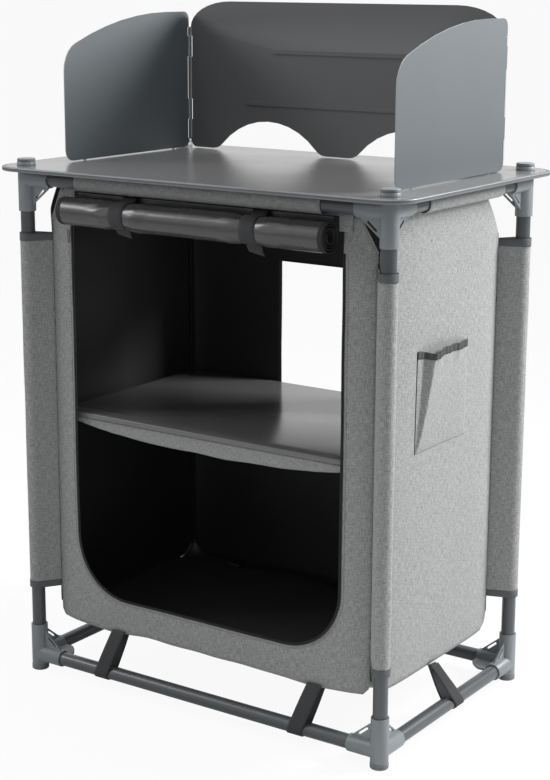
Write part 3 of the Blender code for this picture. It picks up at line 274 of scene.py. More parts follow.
HEATHER = heather("heather_cloth", (0.300, 0.306, 0.305))
LINING = lining("black_lining", (0.021, 0.021, 0.022), 0.50, 0.5 * MM, 0.3)
DOOR_COAT = lining("door_coating", (0.062, 0.062, 0.063), 0.27, 0.15 * MM, 0.6)
# Painted light: a lighter copy of the black lining for the floor cloth, standing in for the light that
# reaches the lower compartment's floor.
FLOOR_LINING_PAINTED_LIGHT = lining("floor_lining_painted_light", (0.045, 0.045, 0.046), 0.45, 0.4 * MM, 0.4)
WEBBING = ribbed("strap_webbing", (0.032, 0.033, 0.036), 1.3 * MM)
BINDING = ribbed("edge_binding", (0.095, 0.103, 0.110), 1.0 * MM)
ELASTIC = ribbed("pocket_elastic_band", (0.045, 0.047, 0.050), 1.1 * MM)
ZIP_TAPE = ribbed("zip_tape", (0.010, 0.010, 0.011), 0.8 * MM)
THREAD = Finish("stitching_thread", (0.14, 0.145, 0.148), 0.8)
print("cloth finishes:", [item.material.name for item in (HEATHER, LINING, DOOR_COAT, WEBBING)])

# %% [markdown]
# ## From a bmesh to a finished piece
# Every new piece ends the same way: its mesh becomes an object at the origin, gets its finishes and
# its smooth shading, and rides on a body. One helper does that.

# %% Finish a piece
def add_piece(name, bm, finishes, body, replaces=(), smooth=40):
    mesh = bpy.data.meshes.new(name)
    bm.to_mesh(mesh)
    bm.free()
    mesh.shade_smooth()
    mesh.set_sharp_from_angle(angle=math.radians(smooth))
    for finish in finishes:
        mesh.materials.append(finish.material)
    piece = bpy.data.objects.new(name, mesh)
    bpy.context.scene.collection.objects.link(piece)
    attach(piece, body)
    if replaces:
        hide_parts(*replaces)
    return piece


def dress(finish, *nodes):
    """Give CAD nodes, whose shape is right, a finer surface."""
    for node in nodes:
        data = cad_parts[node].data
        data.materials.clear()
        data.materials.append(finish.material)


def nodes_named(*starts):
    return [node for node in sorted(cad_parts) if node.startswith(starts)]


# %% [markdown]
# ## Boards and folded sheet metal
# The worktop, the shelf and the windscreen have the right shape in the model. Real edges are never
# knife sharp, so a copy of each is merged and its edges are softened by a narrow Bevel. The
# windscreen's narrow edge faces get a light grey finish: a painted highlight along each sheet's edge.

# %% Soften the rigid pieces
SCREEN_FLOOR = 0.8321
BEAD_LEVELS = (SCREEN_FLOOR + 0.1655, SCREEN_FLOOR + 0.0805)
BEAD_REACH, BEAD_HALF_LENGTH = 8 * MM, 0.2
SHARP_EDGE = math.radians(40)


def soften(node, finish, body, width, segments=2, smooth=35, edge=None):
    bm = bmesh.new()
    bm.from_mesh(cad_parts[node].data)
    bmesh.ops.remove_doubles(bm, verts=bm.verts, dist=0.01 * MM)
    bmesh.ops.dissolve_limit(bm, angle_limit=math.radians(1), verts=bm.verts, edges=bm.edges)
    # The second finish, given as edge, is the painted highlight: narrow faces square to the sheet take it,
    # except at the beads.
    if edge:
        sheet_way = max(bm.faces, key=lambda face: face.calc_area()).normal.copy()
        for face in bm.faces:
            centre = face.calc_center_median()
            on_bead = (any(abs(centre.z - level) < BEAD_REACH for level in BEAD_LEVELS)
                       and abs(centre.x) < BEAD_HALF_LENGTH)
            face.material_index = int(abs(face.normal.dot(sheet_way)) < 0.3 and not on_bead)
    piece = add_piece(node + "_surface", bm, [finish] + ([edge] if edge else []), body, [node],
                      smooth=smooth)
    bevel = piece.modifiers.new("edges", "BEVEL")
    bevel.width, bevel.segments = width, segments
    bevel.limit_method, bevel.angle_limit = "ANGLE", SHARP_EDGE


for node, body, finish in (("windscreen_back_panel", "windscreen", SCREEN_COAT),
                           ("windscreen_left_wing", "left_wing", WING_COAT),
                           ("windscreen_right_wing", "right_wing", WING_COAT)):
    soften(node, finish, body, 0.25 * MM, smooth=12, edge=SCREEN_EDGE_HIGHLIGHT)
soften("shelf_board", LAMINATE, "shelf", 0.4 * MM)
soften("zip_slider", SLIDER_METAL, "slider", 0.3 * MM)
dress(LAMINATE, "table_board")
dress(PIN_STEEL, "hinge_pin_left", "hinge_pin_right")

# %% [markdown]
# ## The tube frame
# Twelve straight tubes. In the model they have sixteen flat sides, which show where light rolls
# over them, so each gets a round rod of the same length and radius.

# %% Draw the tubes
ROUND = 48


def rod_between(bm, start, end, radius, segments=ROUND):
    start, end = Vector(start), Vector(end)
    along = end - start
    place = Matrix.Translation((start + end) / 2) @ along.to_track_quat("Z", "Y").to_matrix().to_4x4()
    return bmesh.ops.create_cone(bm, cap_ends=True, segments=segments, radius1=radius, radius2=radius,
                                 depth=along.length, matrix=place)["verts"]


for node in nodes_named("leg_", "rail_"):
    low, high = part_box(node)
    size = high - low
    axis = max(range(3), key=lambda i: size[i])
    middle = (low + high) / 2
    start, end = middle.copy(), middle.copy()
    start[axis], end[axis] = low[axis], high[axis]
    bm = bmesh.new()
    rod_between(bm, start, end, max(size[i] for i in range(3) if i != axis) / 2)
    add_piece(node + "_tube", bm, [TUBE_PAINT], "frame", [node])
print("tubes:", len(nodes_named("leg_", "rail_")))

# %% [markdown]
# ## The corner mouldings
# One moulding serves all eight corners: a socket for the leg, two for the rails, a slotted gusset
# beside each rail and a level web between them. It is made once, by joining and cutting simple
# solids, and its edges are rounded as a mould leaves them. Each of the eight copies is its own copy
# of that mesh, with its place applied.

# %% Model one corner moulding
TUBE_RADIUS = 11 * MM
SOCKET_RADIUS = 13.5 * MM
SOCKET_BORE = 11.35 * MM
RAIL_DROP = 27 * MM
LEG_X, LEG_Y, FRAME_TOP = 0.3275, 0.2015, 0.840
SOCKET_MOUTH = 78.5 * MM
SOCKET_END = 9.1 * MM
ARM_MOUTH = 50.5 * MM
ARM_FLOOR, LEG_FLOOR = 16.5 * MM, 42 * MM
GUSSET_HALF, WEB_HALF, WEB_RADIUS = 1.6 * MM, 1.5 * MM, 56 * MM
SLOT_HALF_LENGTH, SLOT_RADIUS, SLOT_INSET = 8.8 * MM, 1.7 * MM, 4.3 * MM


def tool(name, bm):
    bmesh.ops.recalc_face_normals(bm, faces=bm.faces)
    mesh = bpy.data.meshes.new(name)
    bm.to_mesh(mesh)
    bm.free()
    obj = bpy.data.objects.new(name, mesh)
    bpy.context.scene.collection.objects.link(obj)
    return obj


def plate(bm, outline, low, high, along):
    """Extrude a flat outline: a face in two directions, made thick along the third."""
    def at(a, b, c):
        return {"X": (a, c, b), "Y": (c, a, b), "Z": (a, b, c)}[along]
    face = bm.faces.new([bm.verts.new(at(a, b, low)) for a, b in outline])
    grown = bmesh.ops.extrude_face_region(bm, geom=[face])["geom"]
    shift = Vector(at(0, 0, high - low))
    bmesh.ops.translate(bm, vec=shift, verts=[v for v in grown if isinstance(v, bmesh.types.BMVert)])


def ring(centre, radius, start, end, steps):
    return [(centre[0] + radius * math.cos(math.radians(start + (end - start) * i / steps)),
             centre[1] + radius * math.sin(math.radians(start + (end - start) * i / steps)))
            for i in range(steps + 1)]


def apply_steps(base, steps, bevel_width):
    """Join and cut in order, soften the edges and return the finished mesh."""
    for operation, other in steps:
        step = base.modifiers.new(other.name, "BOOLEAN")
        step.operation, step.solver, step.object = operation, "EXACT", other
    bpy.context.view_layer.update()
    graph = bpy.context.evaluated_depsgraph_get()
    mesh = bpy.data.meshes.new_from_object(base.evaluated_get(graph))
    for obj in [base] + [other for _, other in steps]:
        bpy.data.objects.remove(obj, do_unlink=True)
    bm = bmesh.new()
    bm.from_mesh(mesh)
    bmesh.ops.remove_doubles(bm, verts=bm.verts, dist=0.02 * MM)
    bmesh.ops.dissolve_degenerate(bm, edges=bm.edges, dist=0.02 * MM)
    edges = [e for e in bm.edges if len(e.link_faces) == 2 and e.calc_face_angle(0) > math.radians(40)]
    bmesh.ops.bevel(bm, geom=edges, offset=bevel_width, offset_type="OFFSET", segments=2, profile=0.5,
                    affect="EDGES", clamp_overlap=True, material=-1)
    bmesh.ops.remove_doubles(bm, verts=bm.verts, dist=0.01 * MM)
    return bm


def corner_moulding():
    bm = bmesh.new()
    rod_between(bm, (0, 0, SOCKET_END), (0, 0, SOCKET_MOUTH), SOCKET_RADIUS)
    body = tool("moulding", bm)
    steps = []
    lean = math.cos(math.radians(30))
    foot = (ARM_MOUTH - 2 * MM, RAIL_DROP + SOCKET_RADIUS * lean)
    tip = (SOCKET_RADIUS * lean, SOCKET_MOUTH - 9.5 * MM)
    slope = math.atan2(tip[1] - foot[1], tip[0] - foot[0])
    inward = Vector((math.sin(slope), -math.cos(slope))) * -SLOT_INSET
    middle = Vector(((foot[0] + tip[0]) / 2, (foot[1] + tip[1]) / 2)) + inward
    spin = Matrix.Rotation(slope, 2)
    slot = (ring((SLOT_HALF_LENGTH, 0), SLOT_RADIUS, -90, 90, 8)
            + ring((-SLOT_HALF_LENGTH, 0), SLOT_RADIUS, 90, 270, 8))
    slot = [tuple(middle + spin @ Vector(point)) for point in slot]
    for along, axis in (("X", Vector((1, 0, 0))), ("Y", Vector((0, 1, 0)))):
        centre = Vector((0, 0, RAIL_DROP))
        bm = bmesh.new()
        rod_between(bm, centre, centre + axis * ARM_MOUTH, SOCKET_RADIUS)
        steps.append(("UNION", tool("arm_" + along, bm)))
        bm = bmesh.new()
        plate(bm, [(0, RAIL_DROP), (foot[0], RAIL_DROP), foot, tip, (0, tip[1])], -GUSSET_HALF, GUSSET_HALF,
              along)
        steps.append(("UNION", tool("gusset_" + along, bm)))
        bm = bmesh.new()
        plate(bm, slot, -3 * MM, 3 * MM, along)
        steps.append(("DIFFERENCE", tool("slot_" + along, bm)))
    bm = bmesh.new()
    web = [(0, 0), (49 * MM, 0)] + ring((0, 0), WEB_RADIUS, 28.95, 61.05, 10) + [(0, 49 * MM)]
    plate(bm, web, RAIL_DROP - WEB_HALF, RAIL_DROP + WEB_HALF, "Z")
    steps.append(("UNION", tool("web", bm)))
    for along, axis in (("X", Vector((1, 0, 0))), ("Y", Vector((0, 1, 0)))):
        bm = bmesh.new()
        rod_between(bm, centre + axis * ARM_FLOOR, centre + axis * (ARM_MOUTH + 2 * MM), SOCKET_BORE)
        steps.append(("DIFFERENCE", tool("bore_" + along, bm)))
    bm = bmesh.new()
    rod_between(bm, (0, 0, LEG_FLOOR), (0, 0, SOCKET_MOUTH + 2 * MM), SOCKET_BORE)
    steps.append(("DIFFERENCE", tool("leg_bore", bm)))
    return apply_steps(body, steps, 0.45 * MM)


MOULDING = corner_moulding()
print("corner moulding:", len(MOULDING.faces), "faces")

# %% [markdown]
# Each corner's copy is turned about its leg, and the top ones hang upside down. The feet and caps
# are turned shapes: a profile spun about the leg's axis.

# %% Place the corners, feet and caps
CORNERS = (("front_left", -1, -1, 0), ("front_right", 1, -1, 1), ("back_right", 1, 1, 2),
           ("back_left", -1, 1, 3))


def corner_place(sign_x, sign_y, quarter, top):
    turn = Matrix.Rotation(math.radians(90 * quarter), 4, "Z")
    if top:
        turn = turn @ Matrix.Rotation(math.radians(180), 4, Vector((1, 1, 0)).normalized())
    return Matrix.Translation((sign_x * LEG_X, sign_y * LEG_Y, FRAME_TOP if top else 0)) @ turn


def turned(profile, place=Matrix.Identity(4), segments=ROUND):
    """Spin (radius, height) points about Z into a closed solid."""
    bm = bmesh.new()
    points = [bm.verts.new((radius, 0, height)) for radius, height in profile]
    edges = [bm.edges.new(pair) for pair in zip(points, points[1:])]
    bmesh.ops.spin(bm, geom=points + edges, cent=(0, 0, 0), axis=(0, 0, 1), angle=2 * math.pi,
                   steps=segments, use_merge=True)
    bmesh.ops.remove_doubles(bm, verts=bm.verts, dist=0.01 * MM)
    bmesh.ops.recalc_face_normals(bm, faces=bm.faces)
    bmesh.ops.transform(bm, matrix=place, verts=bm.verts)
    return bm


FOOT_RADIUS, CAP_RADIUS, ROUNDING = 13.9 * MM, 14.5 * MM, 2.2 * MM


def in_mm(*points):
    return [(radius * MM, height * MM) for radius, height in points]


foot_profile = (in_mm((0, 9.0), (13.1, 9.0), (13.1, 8.8), (13.6, 8.5), (13.9, 8.0), (13.9, 5.3),
                      (13.4, 5.0), (13.4, 4.5), (13.9, 4.2))
                + ring((FOOT_RADIUS - ROUNDING, ROUNDING), ROUNDING, 0, -90, 8) + [(0, 0)])
cap_profile = (in_mm((0, 9.0), (13.5, 9.0), (13.5, 8.0), (14.5, 7.9), (14.5, 2.8), (14.2, 2.4),
                     (13.2, 2.2), (13.2, 1.7), (13.9, 1.5), (14.0, 1.2))
               + ring((CAP_RADIUS - 1.9 * MM, -1.6 * MM), 1.4 * MM, 0, -90, 8) + [(0, -3 * MM)])
for corner, sign_x, sign_y, quarter in CORNERS:
    for level, top in (("bottom", False), ("top", True)):
        place = corner_place(sign_x, sign_y, quarter, top)
        bm = MOULDING.copy()
        bmesh.ops.transform(bm, matrix=place, verts=bm.verts)
        add_piece(f"moulding_{level}_{corner}", bm, [MOULDED], "frame",
                  [f"connector_{level}_{corner}"], smooth=32)
    add_piece("foot_cup_" + corner, turned(foot_profile, corner_place(sign_x, sign_y, quarter, False)),
              [SOFT_FOOT], "frame", ["foot_" + corner])
    add_piece("cap_disc_" + corner, turned(cap_profile, corner_place(sign_x, sign_y, quarter, True)),
              [MOULDED], "frame", ["top_cap_" + corner])
MOULDING.free()
print("corners placed:", 2 * len(CORNERS), "and as many feet and caps")

# %% [markdown]
# ## The worktop's rim
# A drawn metal section clamps the board's edge. Its outline is a flush lip, a rounded nose with one
# fine groove, and a short skirt. The section is a strip of a grid carried round the board's
# rounded rectangle and closed both ways, so the corners keep the same section.

# %% Sweep a closed section along a closed or open line
def swept(name, section, line, finish, body, replaces=(), looped=True, smooth=35):
    """section holds (out, up) points, and line a place, an outward and an upward direction each."""
    steps = len(line)
    bm = bmesh.new()
    last = steps if looped else steps - 1
    bmesh.ops.create_grid(bm, x_segments=len(section), y_segments=last, size=0.5)
    layer = bm.loops.layers.uv.new("cut")
    reach = max(vert.co.x for vert in bm.verts)
    index = {vert: (round((vert.co.x / reach + 1) / 2 * len(section)),
                    round((vert.co.y / reach + 1) / 2 * last)) for vert in bm.verts}
    around = [0.0]
    for a, b in zip(line, line[1:] + line[:1]):
        around.append(around[-1] + (b[0] - a[0]).length)
    across = [0.0]
    for a, b in zip(section, section[1:] + section[:1]):
        across.append(across[-1] + math.dist(a, b))
    for face in bm.faces:
        for loop in face.loops:
            i, j = index[loop.vert]
            loop[layer].uv = (across[i], around[j])
    for vert, (i, j) in index.items():
        place, out, up = line[j % steps]
        vert.co = place + out * section[i % len(section)][0] + up * section[i % len(section)][1]
    bmesh.ops.remove_doubles(bm, verts=bm.verts, dist=0.001 * MM)
    if not looped:
        bmesh.ops.holes_fill(bm, edges=bm.edges)
    bmesh.ops.recalc_face_normals(bm, faces=bm.faces)
    return add_piece(name, bm, [finish], body, replaces, smooth)


BOARD_X, BOARD_Y, BOARD_ROUND, BOARD_TOP = 0.3675, 0.2415, 0.046, 0.8318
rim_line = []
for sign_x, sign_y, start in ((1, -1, -90), (1, 1, 0), (-1, 1, 90), (-1, -1, 180)):
    centre = Vector((sign_x * (BOARD_X - BOARD_ROUND), sign_y * (BOARD_Y - BOARD_ROUND), BOARD_TOP))
    for step in range(21):
        angle = math.radians(start + 4.5 * step)
        way = Vector((math.cos(angle), math.sin(angle), 0))
        rim_line.append((centre + way * BOARD_ROUND, way, Vector((0, 0, 1))))
rim_section = in_mm((-5.0, -0.05), (-1.6, 0.0), (-0.8, -0.25), (-0.25, -0.8), (0.0, -1.6), (0.0, -2.2),
                    (-0.6, -2.4), (-0.6, -3.0), (0.0, -3.2), (0.0, -4.2), (-0.2, -5.1), (-0.6, -5.8),
                    (-0.7, -6.3), (-1.2, -6.5), (-1.9, -6.5), (-1.9, -5.05), (-5.0, -5.05), (-5.0, -3.8),
                    (-1.3, -3.8), (-1.3, -1.3), (-5.0, -1.3))
swept("table_rim", rim_section, rim_line, RIM_METAL, "table_top", ["table_edge_trim"])
print("rim goes round", len(rim_line), "stations")

# %% [markdown]
# ## Cloth as a grid on its flat cut
# Each sheet starts as a flat grid. Its UV map keeps the cut's real size in metres, then a function
# moves every point to where the hung cloth is, and a Solidify modifier gives it its thickness. The
# coating is a second finish on the inner side.

# %% Hang a sheet of cloth
def clamp(value, low=0.0, high=1.0):
    return max(low, min(high, value))


def ease(low, high, value):
    share = clamp((value - low) / (high - low))
    return share * share * (3 - 2 * share)


def woven(name, columns, rows, place, cut, thickness, finishes, replaces=(), facing=None,
          closed=False, yarns=None):
    """A sheet whose points go where place(s, t) says; s runs across the cut and t along it, 0 to 1.

    yarns(point) gives the place on the flat cut where that isn't simply s and t."""
    bm = bmesh.new()
    bmesh.ops.create_grid(bm, x_segments=columns, y_segments=rows, size=0.5)
    layer = bm.loops.layers.uv.new("cut")
    reach = max(vert.co.x for vert in bm.verts)
    shares = {vert: tuple(min(1, max(0, (part / reach + 1) / 2)) for part in vert.co.xy)
              for vert in bm.verts}
    for face in bm.faces:
        for loop in face.loops:
            s, t = shares[loop.vert]
            loop[layer].uv = (s * cut[0], t * cut[1])
    for vert, (s, t) in shares.items():
        vert.co = place(s, t)
    if yarns:
        for face in bm.faces:
            for loop in face.loops:
                loop[layer].uv = yarns(loop.vert.co)
    if closed:
        bmesh.ops.remove_doubles(bm, verts=bm.verts, dist=0.02 * MM)
    bm.normal_update()
    if facing and sum((face.normal.dot(Vector(facing(face.calc_center_median()))) * face.calc_area()
                       for face in bm.faces)) < 0:
        bmesh.ops.reverse_faces(bm, faces=bm.faces)
    piece = add_piece(name, bm, finishes, "frame", replaces, smooth=60)
    solid = piece.modifiers.new("thickness", "SOLIDIFY")
    solid.thickness, solid.offset, solid.use_even_offset = thickness, 0, True
    if len(finishes) > 1:
        solid.material_offset = 1
    return piece


def ripple(x, y, z, size, depth):
    """Slow unevenness of hung cloth, in metres."""
    return depth * noise.noise(Vector((x, y, z)) / size)


# %% [markdown]
# ## The cabinet's walls
# The body hangs from the top rails and is pulled to the legs at its corners. Its front and back
# stand nearly flat and turn in at the corner seams; the sides bow a little more. The same curves
# as in the model place the finer sheets, with a slow unevenness on top.

# %% Curves of the walls
CLOTH = 1.3 * MM
WALL_X, WALL_Y = 0.308, 0.189
SEAM_X, SEAM_Y = 0.297, 0.178
BODY_LOW, RAIL_LEVEL = 0.097, 0.813
DOOR_HALF, DOOR_SILL, DOOR_ROUND = 0.247, 0.150, 0.098
SLANT_FRONT, SLANT_BACK, SIDE_SLANT_FRONT = (0.264, 0.749), (0.240, 0.723), (0.137, 0.763)
SIDE_SLANT_BACK = (0.093, 0.723)


def front_depth(x):
    return WALL_Y - (WALL_Y - SEAM_Y) * min(1, abs(x) / SEAM_X) ** 12


def slant(seam, corner, z):
    """How far a slanted top corner, given as (half width at the rail, height it starts), has come in."""
    half, start = corner
    return (seam - half) * clamp((z - start) / (RAIL_LEVEL - start))


def side_reach(y, z):
    lean = 7 * MM * clamp((z - 0.703) / (RAIL_LEVEL - 0.703))
    return WALL_X - (WALL_X - SEAM_X) * min(1, abs(y) / SEAM_Y) ** 6 + lean


def round_corner(z, radius):
    """How far a rounded bottom corner has come in at this height."""
    under = clamp(BODY_LOW + radius - z, 0, radius)
    return radius - math.sqrt(radius * radius - under * under)


FRONT_ROUND, SIDE_ROUND = 7 * MM, 34 * MM
STRAP_AT = 0.187
HEM_END = 0.26, 0.295


def front_half(z, back=False):
    """Half width of the front and back at a height: slanted above, drawn in and rounded below."""
    drawn = 3.5 * MM * (1 - clamp((z - BODY_LOW) / 0.07)) ** 1.5
    return (SEAM_X - slant(SEAM_X, SLANT_BACK if back else SLANT_FRONT, z) - drawn
            - round_corner(z, FRONT_ROUND))


def side_half(z, end=1):
    """Half width of a side wall; its back top corner is cut away far more than its front one."""
    corner = SIDE_SLANT_BACK if end > 0 else SIDE_SLANT_FRONT
    return SEAM_Y - slant(SEAM_Y, corner, z) - round_corner(z, SIDE_ROUND)


def hem_drop(x):
    """How far the front's and back's lower hem hangs below its own line: the tie straps pull it."""
    pull = sum(math.exp(-((x - side * STRAP_AT) / 0.045) ** 2) for side in (-1, 1))
    return 4.5 * MM * pull + ripple(x, 7, 0, 0.07, 2.2 * MM) + 1 * MM


def hang(y_sign, x, z):
    """A point of the front (-1) or back (1) wall: even at its hems, a little uneven between them."""
    z -= hem_drop(x) * (1 - ease(BODY_LOW, BODY_LOW + 0.05, z)) * (1 - ease(*HEM_END, abs(x)))
    free = ease(BODY_LOW - 0.01, BODY_LOW + 0.08, z) * (1 - ease(0.74, 0.80, z))
    edge = 1 - ease(0.26, 0.297, abs(x))
    wave = ripple(x, y_sign, z, 0.11, 1.6 * MM) + ripple(x, y_sign, z * 0.35, 0.045, 0.5 * MM)
    return Vector((x, y_sign * (front_depth(x) + wave * free * (0.35 + 0.65 * edge)), z))


print("wall curves ready; front stands", round(front_depth(0) / MM), "mm from the middle")


# %% [markdown]
# The front wall is all border: a broad U round the door. Its grid runs along that U, so the yarns
# and the wrinkles follow the opening, and the inner edge is a clean curve. The back wall does the
# same round its window, as a closed ring.

# %% Hang the front wall
DOOR_TOP = 0.800
SIDE_SHARE, CORNER_SHARE = 0.31, 0.09


def walk(points, share):
    """The point at a share of a polyline's length."""
    lengths = [(b - a).length for a, b in zip(points, points[1:])]
    left = share * sum(lengths)
    for a, b, length in zip(points, points[1:], lengths):
        if left <= length:
            return a.lerp(b, left / length if length else 0)
        left -= length
    return points[-1]


def door_edge(u, grow=0.0):
    """A point of the door's edge, u from the top left round the sill to the top right."""
    side, mirror = min(u, 1 - u), (-1 if u < 0.5 else 1)
    half, sill, radius = DOOR_HALF + grow, DOOR_SILL - grow, DOOR_ROUND + grow
    bend = sill + radius
    if side < SIDE_SHARE:
        return Vector((mirror * half, DOOR_TOP + (bend - DOOR_TOP) * side / SIDE_SHARE))
    if side < SIDE_SHARE + CORNER_SHARE:
        angle = math.pi / 2 * (side - SIDE_SHARE) / CORNER_SHARE
        return Vector((mirror * (half - radius + radius * math.cos(angle)), bend - radius * math.sin(angle)))
    rest = (side - SIDE_SHARE - CORNER_SHARE) / (0.5 - SIDE_SHARE - CORNER_SHARE)
    return Vector((mirror * (half - radius) * (1 - rest), sill))


def wall_edge(u):
    """The matching point of the wall's own outer edge."""
    side, mirror = min(u, 1 - u), (-1 if u < 0.5 else 1)
    bend = DOOR_SILL + DOOR_ROUND
    if side < SIDE_SHARE:
        z = DOOR_TOP + (bend - DOOR_TOP) * side / SIDE_SHARE
        return Vector((mirror * front_half(z), z))
    if side < SIDE_SHARE + CORNER_SHARE:
        path = [Vector((front_half(bend - (bend - BODY_LOW) * i / 24), bend - (bend - BODY_LOW) * i / 24))
                for i in range(25)] + [Vector((DOOR_HALF - DOOR_ROUND, BODY_LOW))]
        at = walk(path, (side - SIDE_SHARE) / CORNER_SHARE)
        return Vector((mirror * at.x, at.y))
    rest = (side - SIDE_SHARE - CORNER_SHARE) / (0.5 - SIDE_SHARE - CORNER_SHARE)
    return Vector((mirror * (DOOR_HALF - DOOR_ROUND) * (1 - rest), BODY_LOW))


def front_place(s, t):
    at = door_edge(t).lerp(wall_edge(t), s)
    return hang(-1, at.x, at.y)


HEADER_HALF, HEADER_LOW, HEADER_HIGH = 0.262, 0.776, 0.026
front = woven("front_wall", 9, 260, front_place, (0.05, 1.75), CLOTH, [HEATHER, LINING],
              ["fabric_front_panel"], facing=lambda at: (0, -1, 0), yarns=lambda at: at.xz)
header = woven("front_header", 80, 6,
               lambda s, t: Vector(((2 * s - 1) * HEADER_HALF, -WALL_Y - 0.3 * MM * (1 + t),
                                    HEADER_LOW + HEADER_HIGH * t)),
               (2 * HEADER_HALF, HEADER_HIGH), CLOTH, [HEATHER, LINING],
               facing=lambda at: (0, -1, 0))
print("front wall points:", len(front.data.vertices))

# %% Hang the back wall
WINDOW_HALF, WINDOW_LOW, WINDOW_TOP = 0.112, 0.437, 0.651
BACK_TOP = 0.803


def window_edge(u, grow=0.0):
    corner, share = divmod(u * 4, 1)
    low, high, half = WINDOW_LOW - grow, WINDOW_TOP + grow, WINDOW_HALF + grow
    places = [(-half, low), (half, low), (half, high), (-half, high), (-half, low)]
    corner = int(corner) % 4
    return Vector(places[corner]).lerp(Vector(places[corner + 1]), share)


def back_edge(u):
    corner, share = divmod(u * 4, 1)
    corner = int(corner) % 4
    if corner == 0:
        return Vector((front_half(BODY_LOW) * (2 * share - 1), BODY_LOW))
    if corner == 2:
        return Vector((front_half(BACK_TOP, True) * (1 - 2 * share), BACK_TOP))
    z = BODY_LOW + (BACK_TOP - BODY_LOW) * (share if corner == 1 else 1 - share)
    return Vector(((front_half(z, True) if corner == 1 else -front_half(z, True)), z))


def back_place(s, t):
    at = window_edge(t).lerp(back_edge(t), s)
    return hang(1, at.x, at.y)


back = woven("back_wall", 22, 240, back_place, (0.25, 1.9), CLOTH, [HEATHER, LINING],
             ["fabric_back_panel"], facing=lambda at: (0, 1, 0), closed=True, yarns=lambda at: at.xz)
print("back wall points:", len(back.data.vertices))

# %% Hang the side walls
def side_depth(sign, y, z):
    """Distance of a side wall from the middle, with its unevenness."""
    free = (ease(BODY_LOW, BODY_LOW + 0.06, z) * (1 - ease(0.76, 0.80, z))
            * (1 - ease(0.135, SEAM_Y, abs(y))))
    wave = ripple(sign * 3, y, z, 0.12, 2.0 * MM) + ripple(sign * 3, y, z * 0.35, 0.05, 0.5 * MM)
    return side_reach(y, z) + wave * free


def side_place(sign):
    def place(s, t):
        z = BODY_LOW + (BACK_TOP - BODY_LOW) * t
        y = -side_half(z, -1) + s * (side_half(z, -1) + side_half(z, 1))
        return Vector((sign * side_depth(sign, y, z), y, z))
    return place


for side, sign in (("left", -1), ("right", 1)):
    woven(side + "_wall", 60, 110, side_place(sign), (0.36, 0.71), CLOTH, [HEATHER, LINING],
                        [f"fabric_{side}_panel"],
                        facing=lambda at, sign=sign: (sign, 0, 0), yarns=lambda at: at.yz)
print("side wall cut:", round(side_half(0.8, -1) / MM), "mm wide to the front at its top")

# %% [markdown]
# ## Sleeves on the top rails
# The walls end in tunnels round the top rails. Cloth pulled over a tube is never quite round: it
# sags a little below and puckers where it is sewn, so the tunnel's radius wanders slowly.

# %% Wrap the top rails
SLEEVE_RADIUS = 12.4 * MM
SLEEVE_HALF = {"front": 0.222, "back": 0.222, "left": 0.112, "right": 0.112}


def tunnel(name, along, sign, half, wall):
    """A tunnel of cloth round a rail, drawn into the wall below it."""
    def place(s, t):
        angle = 2 * math.pi * s
        length = (2 * t - 1) * half
        loose = ripple(length, math.sin(angle), sign + wall, 0.02, 0.35 * MM)
        radius = SLEEVE_RADIUS + loose + 0.9 * MM * max(0.0, -math.sin(angle)) ** 4
        out, up = radius * math.cos(angle), RAIL_LEVEL + radius * math.sin(angle)
        if along == "X":
            return Vector((length, sign * LEG_Y + out, up))
        return Vector((sign * LEG_X + out, length, up))
    outward = {"X": lambda at: (0, at.y - sign * LEG_Y, at.z - RAIL_LEVEL),
               "Y": lambda at: (at.x - sign * LEG_X, 0, at.z - RAIL_LEVEL)}[along]
    return woven(name, 36, round(half / MM / 3), place, (0.08, 2 * half), 0.9 * MM, [HEATHER],
                 facing=outward, closed=True)


sleeves = {}
for side, along, sign in (("front", "X", -1), ("back", "X", 1), ("left", "Y", -1), ("right", "Y", 1)):
    sleeves[side] = tunnel(side + "_rail_sleeve", along, sign, SLEEVE_HALF[side], len(sleeves))
print("sleeves:", len(sleeves))

# %% [markdown]
# ## Corner flaps
# At each leg a flap is folded round the tube and sewn back to the cabinet's corner seam. Seen from
# above it is a drop: round at the leg, straight to the seam. Dark binding edges it above and below.

# %% Fold the corner flaps
FLAP_LOW, FLAP_TOP = 0.150, 0.727
FLAP_RADIUS = 12.6 * MM


def drop_path(sign_x, sign_y, radius, wander=0.0, level=0.0):
    """The flap seen from above, as points from the seam round the leg and back to the seam."""
    leg = Vector((sign_x * LEG_X, sign_y * LEG_Y))
    seam = Vector((sign_x * SEAM_X, sign_y * SEAM_Y))
    back = seam - leg
    away, reach = back.normalized(), back.length
    side = Vector((-away.y, away.x))
    spread = math.acos(clamp((radius - 0.9 * MM) / reach))
    points = [seam + side * 0.9 * MM]
    for i in range(41):
        angle = spread + (2 * math.pi - 2 * spread) * i / 40
        swell = radius + wander * noise.noise(Vector((angle, level * 14, sign_x + 2 * sign_y)))
        points.append(leg + (away * math.cos(angle) + side * math.sin(angle)) * swell)
    return points + [seam - side * 0.9 * MM]


def flap(name, sign_x, sign_y, low, high, radius, rows, finishes, replaces, wander):
    cache = {}

    def place(s, t):
        z = low + (high - low) * t
        if t not in cache:
            cache[t] = drop_path(sign_x, sign_y, radius, wander, z)
        at = walk(cache[t], s)
        return Vector((at.x, at.y, z))
    seen = drop_path(sign_x, sign_y, radius)
    length = sum((b - a).length for a, b in zip(seen, seen[1:]))
    centre = Vector(((LEG_X + SEAM_X) / 2 * sign_x, (LEG_Y + SEAM_Y) / 2 * sign_y, 0))
    return woven(name, 56, rows, place, (length, high - low), 0.9 * MM, finishes, replaces,
                 facing=lambda at: (at.x - centre.x, at.y - centre.y, 0)), length


